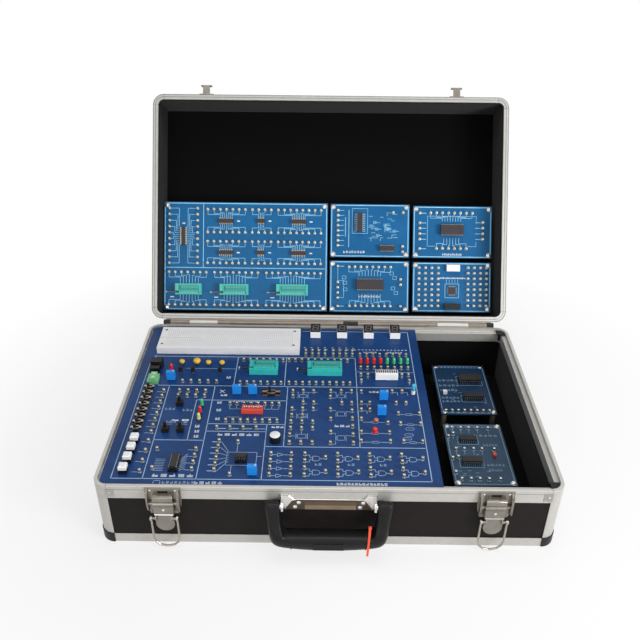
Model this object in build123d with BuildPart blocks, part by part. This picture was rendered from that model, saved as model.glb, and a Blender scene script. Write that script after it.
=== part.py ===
from build123d import *
import os
from math import cos, radians, sin

# Digital logic trainer: an aluminium-edged carrying case, open, with a large circuit board
# let into the base and smaller boards in the lid and in a pocket at the right of the base.
# Millimetres. X runs to the right, Y to the back, Z up.
# The origin is the middle of the base's underside.

os.makedirs("parts", exist_ok=True)

# ---------------------------------------------------------------- driving dimensions
CASE_X = 460.0  # outside width
CASE_Y = 290.0  # outside depth
BASE_Z = 77.0  # height of the base, to the top of its rim
LID_Z = 63.5  # depth of the lid, rim to outer face
CORNER_R = 14.0  # outside corner radius, seen from above
SKIN = 1.0  # sheet thickness of the aluminium profiles
PANEL = 5.0  # thickness of the black panels
LINING = 1.5  # thickness of the felt lining
JOINT = 0.1  # hairline joint between neighbouring profiles

RIM_HEIGHT = 16.0  # outer flange of the base rim
RIDGE_WIDTH = 4.0  # raised outer ridge of the base rim
SHOULDER_DROP = 3.6  # the shoulder lies this far below the ridge
RIM_WIDTH = 8.8  # ridge and shoulder together
RIM_SHEET = 1.2  # sheet thickness of the rim profile
LID_RIM_HEIGHT = 15.0
LID_RIM_WIDTH = 6.8
LID_LIP = 3.0  # inner flange of the lid rim
BOTTOM_RAIL = 11.0  # height of the edge profile along the bottom
BOTTOM_LEG = 14.0  # width of its foot under the floor
CAP_PROUD = 0.9  # the black corner caps stand out this far

LID_GAP = 0.1  # between the closed lid and the base
LID_ANGLE = 121.0  # how far the lid stands open
HINGE_Y = CASE_Y / 2 + 4.5
HINGE_Z = BASE_Z
HINGE_LENGTH = 422.0
KNUCKLES = 5
BARREL_R = 3.2
PIN_R = 1.5
RUNNING_FIT = 0.05  # radial clearance of a pin in its bore

LATCH_X = (-161.0, 162.0)  # latch centres, left and right
LEVER_PIVOT = (-148.6, 58.0)  # y and z
BAIL_PIVOT = (-152.6, 42.0)
BAIL_REACH = 38.6  # bail pivot to the far end of the bail's wire
BAIL_HALF = 12.75  # half the spacing of the bail's legs
WIRE_R = 1.2
HANDLE_PIVOT = (-153.0, 60.0)  # y and z
HANDLE_PIN_R = 2.5

BOARD_T = 1.6  # every circuit board
STANDOFF = 25.0  # hexagonal legs of the small boards
BOARD_LEFT = -224.5
BOARD_RIGHT = 111.5
BOARD_FRONT = -140.6
BOARD_BACK = 139.8
DIVIDER_X = 108.5  # wall between the main board and the pocket
MODULE_X = 66.5
MODULE_Y = 99.0

# ---------------------------------------------------------------- planes that follow from them
STRAIGHT_X = CASE_X / 2 - CORNER_R
STRAIGHT_Y = CASE_Y / 2 - CORNER_R
INNER_X = CASE_X - 2 * SKIN - 2 * PANEL
INNER_Y = CASE_Y - 2 * SKIN - 2 * PANEL
FLOOR_TOP = PANEL + LINING
SHOULDER_Z = BASE_Z - SHOULDER_DROP
BASE_FACE = Plane.XY
MAIN_FACE = Plane.XY.offset(SHOULDER_Z + BOARD_T)  # parts of the main board stand on this
FRONT_Y = -CASE_Y / 2  # outer face of the front profiles
POCKET_FACE = Plane.XY.offset(FLOOR_TOP + STANDOFF + BOARD_T)

# The lid is drawn on its own rim plane: local x is X, local y climbs the open lid from its
# middle, and local z points out of the lid, so its inside lies at negative local z.
LEAN_Y = -cos(radians(LID_ANGLE))
LEAN_Z = sin(radians(LID_ANGLE))
REACH = HINGE_Y - CASE_Y / 2
LID_REAR = (0, HINGE_Y + REACH * LEAN_Y + LID_GAP * LEAN_Z, HINGE_Z + REACH * LEAN_Z - LID_GAP * LEAN_Y)
LID_NORMAL = (0, -LEAN_Z, LEAN_Y)
LID_HEEL = Plane(origin=LID_REAR, x_dir=(1, 0, 0), z_dir=LID_NORMAL)  # measured from the hinge edge
LID_FACE = Plane(
    origin=LID_HEEL.from_local_coords((0, CASE_Y / 2, 0)), x_dir=(1, 0, 0), z_dir=LID_NORMAL
)
LID_INSIDE = LID_Z - PANEL - LINING  # rim plane down to the lining
LID_SHEET = LID_HEEL.offset(STANDOFF + BOARD_T - LID_INSIDE)  # faces of the lid's boards


def write(piece, name):
    """Label a finished piece and write its STEP file."""
    piece.part.label = name
    export_step(piece.part, "parts/" + name + ".step")


def side_plane(face):
    """A plane across the rails that run along y: local x is face x, local y its normal."""
    return Plane(face.origin, x_dir=face.x_dir, z_dir=-face.y_dir)


def end_plane(face):
    """A plane across the rails that run along x: local x is face y, local y its normal."""
    return Plane(face.origin, x_dir=face.y_dir, z_dir=face.x_dir)


def row(first, last, count, y):
    """Evenly spaced points along x."""
    step = (last - first) / (count - 1)
    return [(first + step * i, y) for i in range(count)]


def column(x, first, last, count):
    """Evenly spaced points along y."""
    step = (last - first) / (count - 1)
    return [(x, first + step * i) for i in range(count)]


def blocks(face, spots, width, depth, height, lift=0.0):
    """Plain blocks of one size standing on a face."""
    with BuildPart() as piece:
        with BuildSketch(face.offset(lift)):
            with Locations(*spots):
                Rectangle(width, depth)
        extrude(amount=height)
    return piece.part


def posts(face, spots, radius, height, lift=0.0, taper=0.0):
    """Small round posts of one size standing on a face, drawn with eight sides."""
    with BuildPart() as piece:
        with BuildSketch(face.offset(lift)):
            with Locations(*spots):
                RegularPolygon(radius, 8)
        extrude(amount=height, taper=taper)
    return piece.part


def legs(face, spots, length):
    """Hexagonal legs that hang down from a face."""
    with BuildPart() as piece:
        with BuildSketch(face):
            with Locations(*spots):
                RegularPolygon(3.2, 6)
        extrude(amount=-length)
    return piece.part


def rod(start, radius, length):
    """A round rod along X."""
    with BuildPart() as piece:
        with BuildSketch(Plane.YZ.offset(start[0])):
            with Locations((start[1], start[2])):
                Circle(radius)
        extrude(amount=length)
    return piece.part


def stub(start, radius, length, sides=8):
    """A thin rod along X, drawn with a few flat sides."""
    with BuildPart() as piece:
        with BuildSketch(Plane.YZ.offset(start[0])):
            with Locations((start[1], start[2])):
                RegularPolygon(radius, sides)
        extrude(amount=length)
    return piece.part


def plate_x(outline, start, width):
    """A plate with an outline in y and z, thick along X."""
    with BuildPart() as piece:
        with BuildSketch(Plane.YZ.offset(start)):
            Polygon(*outline, align=None)
        extrude(amount=width)
    return piece.part


# ---------------------------------------------------------------- case: profiles and panels
def rim_section(half):
    """Base rim profile: ridge, shoulder and two flanges over the panel, outer face at half."""
    low = BASE_Z - RIM_HEIGHT
    under = SHOULDER_Z - RIM_SHEET
    Polygon(
        (half, BASE_Z),
        (half - RIDGE_WIDTH, BASE_Z),
        (half - RIDGE_WIDTH, SHOULDER_Z),
        (half - RIM_WIDTH, SHOULDER_Z),
        (half - RIM_WIDTH, low),
        (half - RIM_WIDTH + RIM_SHEET, low),
        (half - RIM_WIDTH + RIM_SHEET, under),
        (half - SKIN, under),
        (half - SKIN, low),
        (half, low),
        align=None,
    )


def lid_rim_section(half):
    """Lid rim profile: a flat lip with an outer and an inner flange."""
    inner = half - LID_RIM_WIDTH
    Polygon(
        (half, 0),
        (inner, 0),
        (inner, -LID_LIP),
        (inner + 0.7, -LID_LIP),
        (inner + 0.7, -RIM_SHEET),
        (half - SKIN, -RIM_SHEET),
        (half - SKIN, -LID_RIM_HEIGHT),
        (half, -LID_RIM_HEIGHT),
        align=None,
    )


def edge_section(half, outer, inward):
    """Angle profile over an outer edge, from the outer face inward along the normal."""
    Polygon(
        (half, outer),
        (half - BOTTOM_LEG, outer),
        (half - BOTTOM_LEG, outer + inward * SKIN),
        (half - SKIN, outer + inward * SKIN),
        (half - SKIN, outer + inward * BOTTOM_RAIL),
        (half, outer + inward * BOTTOM_RAIL),
        align=None,
    )


def rails(face, section):
    """Four straight rails of one section round the case."""
    with BuildPart() as piece:
        with BuildSketch(end_plane(face)):
            section(CASE_Y / 2)
            mirror(about=Plane.YZ)
        extrude(amount=STRAIGHT_X - JOINT, both=True)
        with BuildSketch(side_plane(face)):
            section(CASE_X / 2)
            mirror(about=Plane.YZ)
        extrude(amount=STRAIGHT_Y - JOINT, both=True)
    return piece.part


def rim_corners(face, section):
    """The same section bent round the four corners."""
    turn = face.from_local_coords((STRAIGHT_X, STRAIGHT_Y, 0))
    with BuildPart() as piece:
        with BuildSketch(side_plane(face).offset(-STRAIGHT_Y)):
            section(CASE_X / 2)
        revolve(axis=Axis(turn, face.z_dir), revolution_arc=90)
        mirror(about=side_plane(face))
        mirror(about=end_plane(face))
    return piece.part


def corner_shells(face, low, high, outside, inside):
    """Four quarter rings between two offsets from the case's outline."""
    size = CORNER_R + outside
    with BuildPart() as piece:
        with BuildSketch(face.offset(low)):
            with GridLocations(CASE_X + 2 * outside - size, CASE_Y + 2 * outside - size, 2, 2):
                Rectangle(size, size)
            RectangleRounded(
                CASE_X + 2 * outside, CASE_Y + 2 * outside, CORNER_R + outside, mode=Mode.INTERSECT
            )
            if inside > -CORNER_R:
                RectangleRounded(
                    CASE_X + 2 * inside, CASE_Y + 2 * inside, CORNER_R + inside, mode=Mode.SUBTRACT
                )
        extrude(amount=high - low)
    return piece.part


def corner_caps(face, outer, inward):
    """Black caps over the outer corners: a foot and a low wall round each post."""
    with BuildPart() as piece:
        add(corner_shells(face, outer, outer + inward * SKIN, CAP_PROUD, -CORNER_R))
        edge = outer + inward * SKIN
        add(corner_shells(face, edge, edge + inward * BOTTOM_RAIL, CAP_PROUD, 0))
    return piece.part


def wall_panels(face, low, high):
    """Two long walls that reach round the corners and two short ones between them."""
    with BuildPart() as piece:
        with BuildSketch(face.offset(low)):
            with GridLocations(0, INNER_Y + PANEL, 1, 2):
                Rectangle(CASE_X, PANEL)
            with GridLocations(INNER_X + PANEL, 0, 2, 1):
                Rectangle(PANEL, INNER_Y - JOINT)
            RectangleRounded(CASE_X - 2 * SKIN, CASE_Y - 2 * SKIN, CORNER_R - SKIN, mode=Mode.INTERSECT)
        extrude(amount=high - low)
    return piece.part


def cover_panel(face, outer, inward):
    """Floor or lid panel, rebated at its edge for the feet of the edge profiles."""
    with BuildPart() as piece:
        with BuildSketch(face.offset(outer + inward * SKIN)):
            Rectangle(INNER_X - JOINT, INNER_Y - JOINT)
        extrude(amount=inward * (PANEL - SKIN))
        with BuildSketch(face.offset(outer)):
            Rectangle(CASE_X - 2 * BOTTOM_LEG - JOINT, CASE_Y - 2 * BOTTOM_LEG - JOINT)
        extrude(amount=inward * SKIN)
    return piece.part


def lining_tub(face, bottom, inward, height):
    """Felt lining: a shallow open box that covers the floor and the walls."""
    with BuildPart() as piece:
        with BuildSketch(face.offset(bottom)):
            Rectangle(INNER_X - JOINT, INNER_Y - JOINT)
        extrude(amount=inward * height)
        with BuildSketch(face.offset(bottom + inward * LINING)):
            Rectangle(INNER_X - 2 * LINING, INNER_Y - 2 * LINING)
        extrude(amount=inward * (height - LINING), mode=Mode.SUBTRACT)
    return piece.part


def base_edge_section(half):
    edge_section(half, 0, 1)


def lid_edge_section(half):
    edge_section(half, -LID_Z, 1)


with BuildPart() as base_floor_panel:
    add(cover_panel(BASE_FACE, 0, 1))
write(base_floor_panel, "base_floor_panel")

with BuildPart() as base_wall_panels:
    add(wall_panels(BASE_FACE, SKIN + JOINT, SHOULDER_Z - RIM_SHEET))
write(base_wall_panels, "base_wall_panels")

with BuildPart() as base_rim_frame:
    add(rails(BASE_FACE, rim_section))
    add(rim_corners(BASE_FACE, rim_section))
write(base_rim_frame, "base_rim_frame")

with BuildPart() as base_edge_profiles:
    add(rails(BASE_FACE, base_edge_section))
    add(corner_shells(BASE_FACE, SKIN, BASE_Z - RIM_HEIGHT, 0, -SKIN))
write(base_edge_profiles, "base_edge_profiles")

with BuildPart() as base_corner_caps:
    add(corner_caps(BASE_FACE, 0, 1))
write(base_corner_caps, "base_corner_caps")

with BuildPart() as base_lining:
    add(lining_tub(BASE_FACE, PANEL, 1, SHOULDER_Z - RIM_SHEET - PANEL - JOINT))
write(base_lining, "base_lining")

with BuildPart() as lid_top_panel:
    add(cover_panel(LID_FACE, -LID_Z, 1))
write(lid_top_panel, "lid_top_panel")

with BuildPart() as lid_wall_panels:
    add(wall_panels(LID_FACE, SKIN + JOINT - LID_Z, -RIM_SHEET))
write(lid_wall_panels, "lid_wall_panels")

with BuildPart() as lid_rim_frame:
    add(rails(LID_FACE, lid_rim_section))
    add(rim_corners(LID_FACE, lid_rim_section))
write(lid_rim_frame, "lid_rim_frame")

with BuildPart() as lid_edge_profiles:
    add(rails(LID_FACE, lid_edge_section))
    add(corner_shells(LID_FACE, SKIN - LID_Z, -LID_RIM_HEIGHT, 0, -SKIN))
write(lid_edge_profiles, "lid_edge_profiles")

with BuildPart() as lid_corner_caps:
    add(corner_caps(LID_FACE, -LID_Z, 1))
write(lid_corner_caps, "lid_corner_caps")

with BuildPart() as lid_lining:
    add(lining_tub(LID_FACE, PANEL - LID_Z, 1, LID_Z - PANEL - LID_LIP - JOINT))
write(lid_lining, "lid_lining")

# Black filler blocks in the rim's inner corners; at the right they also cover the shoulder.
with BuildPart() as base_rim_corners:
    with BuildSketch(BASE_FACE.offset(SHOULDER_Z - RIM_SHEET - 8)):
        with Locations((INNER_X / 2 - LINING - 4.5, INNER_Y / 2 - LINING - 4.5)):
            Rectangle(4.5, 4.5, align=(Align.MIN, Align.MIN))
        with Locations((INNER_X / 2 - LINING - 4.5, 4.5 + LINING - INNER_Y / 2)):
            Rectangle(4.5, 4.5, align=(Align.MIN, Align.MAX))
        RectangleRounded(
            CASE_X - 2 * RIM_WIDTH, CASE_Y - 2 * RIM_WIDTH, CORNER_R - RIM_WIDTH, mode=Mode.INTERSECT
        )
    extrude(amount=8 + RIM_SHEET)
    with BuildSketch(BASE_FACE.offset(SHOULDER_Z)):
        with Locations((CASE_X / 2 - RIDGE_WIDTH, CASE_Y / 2 - RIDGE_WIDTH)):
            Rectangle(10, 10, align=(Align.MAX, Align.MAX))
        with Locations((CASE_X / 2 - RIDGE_WIDTH, RIDGE_WIDTH - CASE_Y / 2)):
            Rectangle(10, 10, align=(Align.MAX, Align.MIN))
        RectangleRounded(
            CASE_X - 2 * RIDGE_WIDTH - JOINT, CASE_Y - 2 * RIDGE_WIDTH - JOINT, CORNER_R - RIDGE_WIDTH,
            mode=Mode.INTERSECT,
        )
    extrude(amount=2.2)
write(base_rim_corners, "base_rim_corners")

# The divider and four pillars that carry the main board.
with BuildPart() as board_supports:
    with BuildSketch(BASE_FACE.offset(FLOOR_TOP)):
        with Locations((DIVIDER_X, 0)):
            Rectangle(3, INNER_Y - 2 * LINING - 4)
    extrude(amount=SHOULDER_Z - FLOOR_TOP)
    with BuildSketch(BASE_FACE.offset(FLOOR_TOP)):
        with Locations((-56, 0)):
            with GridLocations(190, 150, 2, 2):
                RegularPolygon(3.2, 6)
    extrude(amount=SHOULDER_Z - FLOOR_TOP)
write(board_supports, "board_supports")

# ---------------------------------------------------------------- hinge
KNUCKLE = HINGE_LENGTH / KNUCKLES


def hinge_leaf(face, pivot_y, pivot_z, leaf_low, leaf_high, web, first):
    """Leaf against a rear face with every second knuckle; first is 0 or 1."""
    across = end_plane(face)
    with BuildPart() as piece:
        with BuildSketch(across):
            with Locations((pivot_y + REACH * web - 0.6 * web, (leaf_low + leaf_high) / 2)):
                Rectangle(1.2, abs(leaf_high - leaf_low))
        extrude(amount=HINGE_LENGTH / 2, both=True)
        for i in range(first, KNUCKLES, 2):
            start = -HINGE_LENGTH / 2 + i * KNUCKLE
            with BuildSketch(across.offset(start + JOINT)):
                with Locations((pivot_y, pivot_z)):
                    RegularPolygon(BARREL_R, 12)
                with Locations((pivot_y + REACH * web, pivot_z)):
                    side = Align.MIN if web < 0 else Align.MAX
                    drop = Align.MAX if leaf_low < pivot_z else Align.MIN
                    Rectangle(REACH, BARREL_R, align=(side, drop))
                with Locations((pivot_y, pivot_z)):
                    Circle(PIN_R + RUNNING_FIT, mode=Mode.SUBTRACT)
            extrude(amount=KNUCKLE - 2 * JOINT)
    return piece.part


with BuildPart() as hinge_lower_leaf:
    add(hinge_leaf(BASE_FACE, HINGE_Y, HINGE_Z, HINGE_Z - RIM_HEIGHT, HINGE_Z - 0.3, -1, 0))
write(hinge_lower_leaf, "hinge_lower_leaf")

with BuildPart() as hinge_upper_leaf:
    add(hinge_leaf(LID_FACE, -HINGE_Y, LID_GAP, -LID_RIM_HEIGHT, -0.3, 1, 1))
write(hinge_upper_leaf, "hinge_upper_leaf")

with BuildPart() as hinge_pin:
    add(rod((-HINGE_LENGTH / 2 - 1.5, HINGE_Y, HINGE_Z), PIN_R, HINGE_LENGTH + 3))
    add(stub((-HINGE_LENGTH / 2 - 3, HINGE_Y, HINGE_Z), 2.4, 1.5))
    add(stub((HINGE_LENGTH / 2 + 1.5, HINGE_Y, HINGE_Z), 2.4, 1.5))
write(hinge_pin, "hinge_pin")

# ---------------------------------------------------------------- latches and handle
PLATE_FACE = FRONT_Y - 1.2  # front of the latch and handle plates


def front_plate(outline):
    """A plate on the front of the case, packed out below the rim to meet the panel."""
    with BuildPart() as piece:
        with BuildSketch(Plane.XZ.offset(-FRONT_Y)):
            Polygon(*outline, align=None)
        extrude(amount=1.2)
        with BuildSketch(Plane.XZ.offset(-FRONT_Y - SKIN)):
            Polygon(*outline, align=None)
            with Locations((0, BASE_Z - RIM_HEIGHT - 0.1)):
                Rectangle(2 * CASE_X, 40, align=(Align.CENTER, Align.MAX), mode=Mode.INTERSECT)
        extrude(amount=SKIN)
    return piece.part


with BuildPart() as latch_plates:
    for x in LATCH_X:
        left_edge = [(x - 17.5, 76.4), (x - 17.5, 58), (x - 16.3, 50), (x - 13.8, 42.5)]
        right_edge = [(x + 13.8, 42.5), (x + 16.3, 50), (x + 17.5, 58), (x + 17.5, 76.4)]
        add(front_plate(left_edge + right_edge))
        for side in (-1, 1):
            cheek = [(PLATE_FACE, 47), (-150.2, 50.5), (-152, 57), (-152, 66), (-150.2, 72), (PLATE_FACE, 75)]
            add(plate_x(cheek, x + side * 15 - 0.8, 1.6))
        add(stub((x - 16, *LEVER_PIVOT), 1.2, 32))
        cover = [(PLATE_FACE, 62.6), (-150.2, 62.6), (-150.2, 65.5), (-148.4, 68.4), (PLATE_FACE, 68.4)]
        add(plate_x(cover, x - 9.6, 19.2))
    with BuildSketch(Plane.XZ.offset(-FRONT_Y)):
        with Locations(*[(x, 70.8) for x in LATCH_X]):
            Rectangle(10, 3.6)
    extrude(amount=3, mode=Mode.SUBTRACT)
write(latch_plates, "latch_plates")


def latch_lever(x):
    """Lever: curled barrel on the pivot, a doubled plate, a round nose and two bail stubs."""
    py, pz = LEVER_PIVOT
    by, bz = BAIL_PIVOT
    with BuildPart() as piece:
        with BuildSketch(Plane.XZ.offset(149.2)):
            with BuildLine():
                Polyline((x - 9.3, 32), (x - 8.6, 44), (x - 10.2, 46), (x - 10.2, pz), (x + 10.2, pz))
                Polyline((x + 10.2, pz), (x + 10.2, 46), (x + 8.6, 44), (x + 9.3, 32))
                ThreePointArc((x + 9.3, 32), (x, 22.7), (x - 9.3, 32))
            make_face()
        extrude(amount=1.2)
        with BuildSketch(Plane.XZ.offset(150.4)):
            with Locations((x, 50)):
                Rectangle(19.2, 9)
        extrude(amount=1.5)
        add(stub((x - 10.2, py, pz), 2.2, 20.4, 12))
        with BuildSketch(Plane.YZ.offset(x - 14)):
            with Locations((py, pz)):
                Circle(1.2 + RUNNING_FIT)
        extrude(amount=28, mode=Mode.SUBTRACT)
        for side in (-1, 1):
            ear = [(-150.3, 37), (-150.3, 46), (-153, 45), (by - 1.8, bz), (-153, 39)]
            add(plate_x(ear, x + side * 7.9 - 0.6, 1.2))
            add(stub((x + side * 11.2 - 2.8, by, bz), 1.2, 5.6))
    return piece


def latch_bail(x):
    """Bail: one bent wire with two eyes; each bend is three short straights."""
    by, bz = BAIL_PIVOT
    low = bz - BAIL_REACH
    turn = 11.5
    side = [(BAIL_HALF, bz - 1.8)]
    for angle in (0, 30, 60, 90):
        bend_x = BAIL_HALF - turn + turn * cos(radians(angle))
        side.append((bend_x, low + turn - turn * sin(radians(angle))))
    path = [(x - px, by, pz) for px, pz in side] + [(x + px, by, pz) for px, pz in reversed(side)]
    with BuildPart() as piece:
        with BuildLine():
            Polyline(*path)
        with BuildSketch(Plane((x - BAIL_HALF, by, bz - 1.8), z_dir=(0, 0, -1))):
            RegularPolygon(WIRE_R, 6)
        sweep(transition=Transition.RIGHT)
        for hand in (-1, 1):
            add(stub((x + hand * BAIL_HALF - WIRE_R, by, bz), 2.4, 2 * WIRE_R))
        with BuildSketch(Plane.YZ.offset(x - 20)):
            with Locations((by, bz)):
                Circle(1.2 + RUNNING_FIT)
        extrude(amount=40, mode=Mode.SUBTRACT)
    return piece


latch_lever_left = latch_lever(LATCH_X[0])
write(latch_lever_left, "latch_lever_left")
latch_lever_right = latch_lever(LATCH_X[1])
write(latch_lever_right, "latch_lever_right")
latch_bail_left = latch_bail(LATCH_X[0])
write(latch_bail_left, "latch_bail_left")
latch_bail_right = latch_bail(LATCH_X[1])
write(latch_bail_right, "latch_bail_right")

# Hooks on the lid's front face that the bails pull on.
FRONT_V = CASE_Y / 2
with BuildPart() as latch_keepers:
    for x in LATCH_X:
        with BuildSketch(end_plane(LID_FACE).offset(x - 9)):
            Polygon((FRONT_V, -0.3), (FRONT_V + 1, -0.3), (FRONT_V + 1, -13), (FRONT_V, -13), align=None)
        extrude(amount=18)
        with BuildSketch(end_plane(LID_FACE).offset(x - 4.5)):
            Polygon((FRONT_V + 1, -0.3), (FRONT_V + 12, -0.3), (FRONT_V + 12, -1.2), (FRONT_V + 1, -1.2), align=None)
        extrude(amount=9)
        with BuildSketch(end_plane(LID_FACE).offset(x - 7)):
            Polygon(
                (FRONT_V + 12, -0.3), (FRONT_V + 12, -6), (FRONT_V + 10.8, -6), (FRONT_V + 10.8, -0.3), align=None
            )
        extrude(amount=14)
write(latch_keepers, "latch_keepers")

with BuildPart() as handle_bracket:
    left_end = [(-34, 63.5), (-38, 70), (-47, 70), (-47, 54), (-43, 50)]
    right_end = [(43, 50), (47, 54), (47, 70), (38, 70), (34, 63.5)]
    add(front_plate(left_end + right_end))
    for side in (-1, 1):
        lug = [(PLATE_FACE, 51), (-152, 53), (-156.5, 57), (-156.5, 63), (-154, 66), (PLATE_FACE, 66)]
        add(plate_x(lug, side * 45.2 - 1.2, 2.4))
        add(stub((side * 53 - 7, *HANDLE_PIVOT), HANDLE_PIN_R, 14, 12))
write(handle_bracket, "handle_bracket")

with BuildPart() as carry_handle:
    with BuildSketch(Plane.XZ.offset(147.2)):
        with BuildLine():
            Polyline((-58, 27), (-59.5, 41), (-62.5, 60), (-62.5, 66), (-47, 66), (-47, 50), (-44.5, 34), (-42, 31.5))
            Polyline((-42, 31.5), (42, 31.5), (44.5, 34), (47, 50), (47, 66), (62.5, 66), (62.5, 60), (59.5, 41), (58, 27))
            ThreePointArc((58, 27), (55.5, 20.2), (49, 16))
            ThreePointArc((49, 16), (0, 10.5), (-49, 16))
            ThreePointArc((-49, 16), (-55.5, 20.2), (-58, 27))
        make_face()
    extrude(amount=23)
    with BuildSketch(Plane.YZ):
        with BuildLine():
            Polyline((-147.2, 48), (-147.2, 61.5))
            ThreePointArc((-147.2, 61.5), (-153, 66), (-158.8, 61.5))
            Polyline((-158.8, 61.5), (-161, 46), (-167, 37), (-170, 31), (-170, 18), (-165, 10.5))
            Polyline((-165, 10.5), (-155, 10.5), (-150, 16), (-150, 38), (-147.2, 48))
        make_face()
    extrude(amount=63, both=True, mode=Mode.INTERSECT)
    with BuildSketch(Plane.YZ):
        with Locations(HANDLE_PIVOT):
            Circle(HANDLE_PIN_R + RUNNING_FIT)
    extrude(amount=60.1, both=True, mode=Mode.SUBTRACT)
write(carry_handle, "carry_handle")

# ---------------------------------------------------------------- main board
with BuildPart() as main_board:
    with BuildSketch(BASE_FACE.offset(SHOULDER_Z)):
        with Locations(((BOARD_LEFT + BOARD_RIGHT) / 2, (BOARD_FRONT + BOARD_BACK) / 2)):
            Rectangle(BOARD_RIGHT - BOARD_LEFT, BOARD_BACK - BOARD_FRONT)
    extrude(amount=BOARD_T)
    upright = main_board.edges().filter_by(Axis.Z)
    fillet(upright.group_by(Axis.X)[0], 8)
write(main_board, "main_board")

with BuildPart() as breadboard:
    add(blocks(MAIN_FACE, [(-122.5, 104)], 174, 46.5, 8.5))
    with BuildSketch(MAIN_FACE.offset(8.5)):
        with Locations((-122.5, 103.5)):
            Rectangle(156, 1.6)
    extrude(amount=-3, mode=Mode.SUBTRACT)
write(breadboard, "breadboard")

DIGITS = [(-16.5, 127.6), (16.9, 127.6), (50.3, 127.6), (84.0, 127.6)]
with BuildPart() as digit_displays:
    add(blocks(MAIN_FACE, DIGITS, 12.6, 19, 8.2))
    add(blocks(MAIN_FACE, DIGITS, 12.6, 19, 1.8, lift=8.2))
write(digit_displays, "digit_displays")

LED_ROW = row(38.2, 94.2, 8, 63.5)
LED_COLUMN = [(-140.3, -18.9), (-140.6, -31.0), (-140.3, -42.8)]
LED_SINGLE = [(-185.5, 46.5), (48.8, -59.5)]
with BuildPart() as indicator_leds:
    add(posts(MAIN_FACE, LED_ROW + LED_COLUMN + LED_SINGLE, 1.8, 6.6, lift=2.0))
    add(posts(MAIN_FACE, LED_ROW + LED_COLUMN + LED_SINGLE, 1.8, 1.2, lift=8.6, taper=35))
    add(blocks(MAIN_FACE, [(67.6, 36.0)], 26.0, 9.6, 8.8))
write(indicator_leds, "indicator_leds")

MAIN_ZIFS = [(-76.6, 49.0, 33.3), (-4.6, 48.2, 40.7)]  # centre x, centre y, length
LID_ZIFS = [(-186.8, 39.2, 34.7), (-126.0, 39.2, 38.0), (-48.8, 39.4, 42.0)]
ZIF_WIDTH = 18.5
ZIF_HEIGHT = 9.6


def zif_body(face, x, y, length, width, height):
    """Zero-insertion-force socket with a slot at its left end for the lever."""
    with BuildPart() as piece:
        add(blocks(face, [(x, y)], length, width, height))
        with BuildSketch(face.offset(height)):
            with Locations((x - length / 2, y - width / 2 + 3.4)):
                Rectangle(4.4, 2.4, align=(Align.MIN, Align.CENTER))
        extrude(amount=-6, mode=Mode.SUBTRACT)
    return piece.part


def zif_lever(face, x, y, length, width, height):
    """Cranked lever lying outward from the socket's left end, on a cross pin."""
    across = Plane(face.from_local_coords((0, y - width / 2 + 3.4, 0)), x_dir=face.x_dir, z_dir=-face.y_dir)
    pivot = (x - length / 2 + 2.2, height - 2.6)
    with BuildPart() as piece:
        with BuildSketch(across):
            with Locations(pivot):
                Circle(1.3)
            with Locations((pivot[0], pivot[1])):
                Rectangle(12.5, 1.4, align=(Align.MAX, Align.CENTER))
            with Locations((pivot[0] - 12.5, pivot[1])):
                RegularPolygon(1.7, 8)
        extrude(amount=0.7, both=True)
    return piece


with BuildPart() as zif_sockets:
    for x, y, length in MAIN_ZIFS:
        add(zif_body(MAIN_FACE, x, y, length, ZIF_WIDTH, ZIF_HEIGHT))
write(zif_sockets, "zif_sockets")

zif_lever_1 = zif_lever(MAIN_FACE, *MAIN_ZIFS[0], ZIF_WIDTH, ZIF_HEIGHT)
write(zif_lever_1, "zif_lever_1")
zif_lever_2 = zif_lever(MAIN_FACE, *MAIN_ZIFS[1], ZIF_WIDTH, ZIF_HEIGHT)
write(zif_lever_2, "zif_lever_2")

# Blue trimming potentiometers, their screws on top.
TRIMMERS = [(-104, 4.2), (-86, 4.5), (-75.7, -124), (61.8, -3.4), (57.9, -29.8), (-183, 29.5)]
with BuildPart() as trimmers:
    add(blocks(MAIN_FACE, TRIMMERS, 9.5, 5.0, 11.5))
    add(posts(MAIN_FACE, [(x + 3, y) for x, y in TRIMMERS], 1.1, 1.2, lift=11.5))
write(trimmers, "trimmers")

BIG_CAPS = [(-157.3, 59.5)]
SMALL_CAPS = [(-175.2, 59.5), (-143.4, 58.5), (-127.3, 58.5)]
REGULATORS = [(-174, 41.5), (-159.3, 41.5), (-127.7, 41.6)]
with BuildPart() as board_components:
    # power inlet, its screw terminal, capacitors and regulators
    add(blocks(MAIN_FACE, [(-204.5, 55)], 13, 14, 9.5))
    add(blocks(MAIN_FACE, [(-204.5, 44)], 11, 6.4, 7.0))
    add(blocks(MAIN_FACE, [(-203, 26)], 12.5, 14, 8.5))
    add(posts(MAIN_FACE, BIG_CAPS, 4.5, 8.0))
    add(posts(MAIN_FACE, SMALL_CAPS, 3.2, 6.0))
    add(blocks(MAIN_FACE, REGULATORS, 4.6, 3.8, 7.0, lift=2.0))
    # integrated circuits in sockets
    add(blocks(MAIN_FACE, [(-154.7, -111.9)], 10.2, 22, 3.6))
    add(blocks(MAIN_FACE, [(-154.7, -111.9)], 6.4, 20, 3.4, lift=3.6))
    add(blocks(MAIN_FACE, [(-88.7, -103.9)], 12, 10.2, 3.6))
    add(blocks(MAIN_FACE, [(-88.7, -103.9)], 10, 6.4, 3.4, lift=3.6))
    # buzzer, and the small upright lamp at the right
    add(posts(MAIN_FACE, [(-56.1, -74.6)], 6.0, 8.0))
    add(posts(MAIN_FACE, [(-56.1, -74.6)], 5.4, 0.8, lift=8.0))
    add(posts(MAIN_FACE, [(95.7, 6.5)], 2.4, 9.0, lift=1.0))
write(board_components, "board_components")

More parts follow.
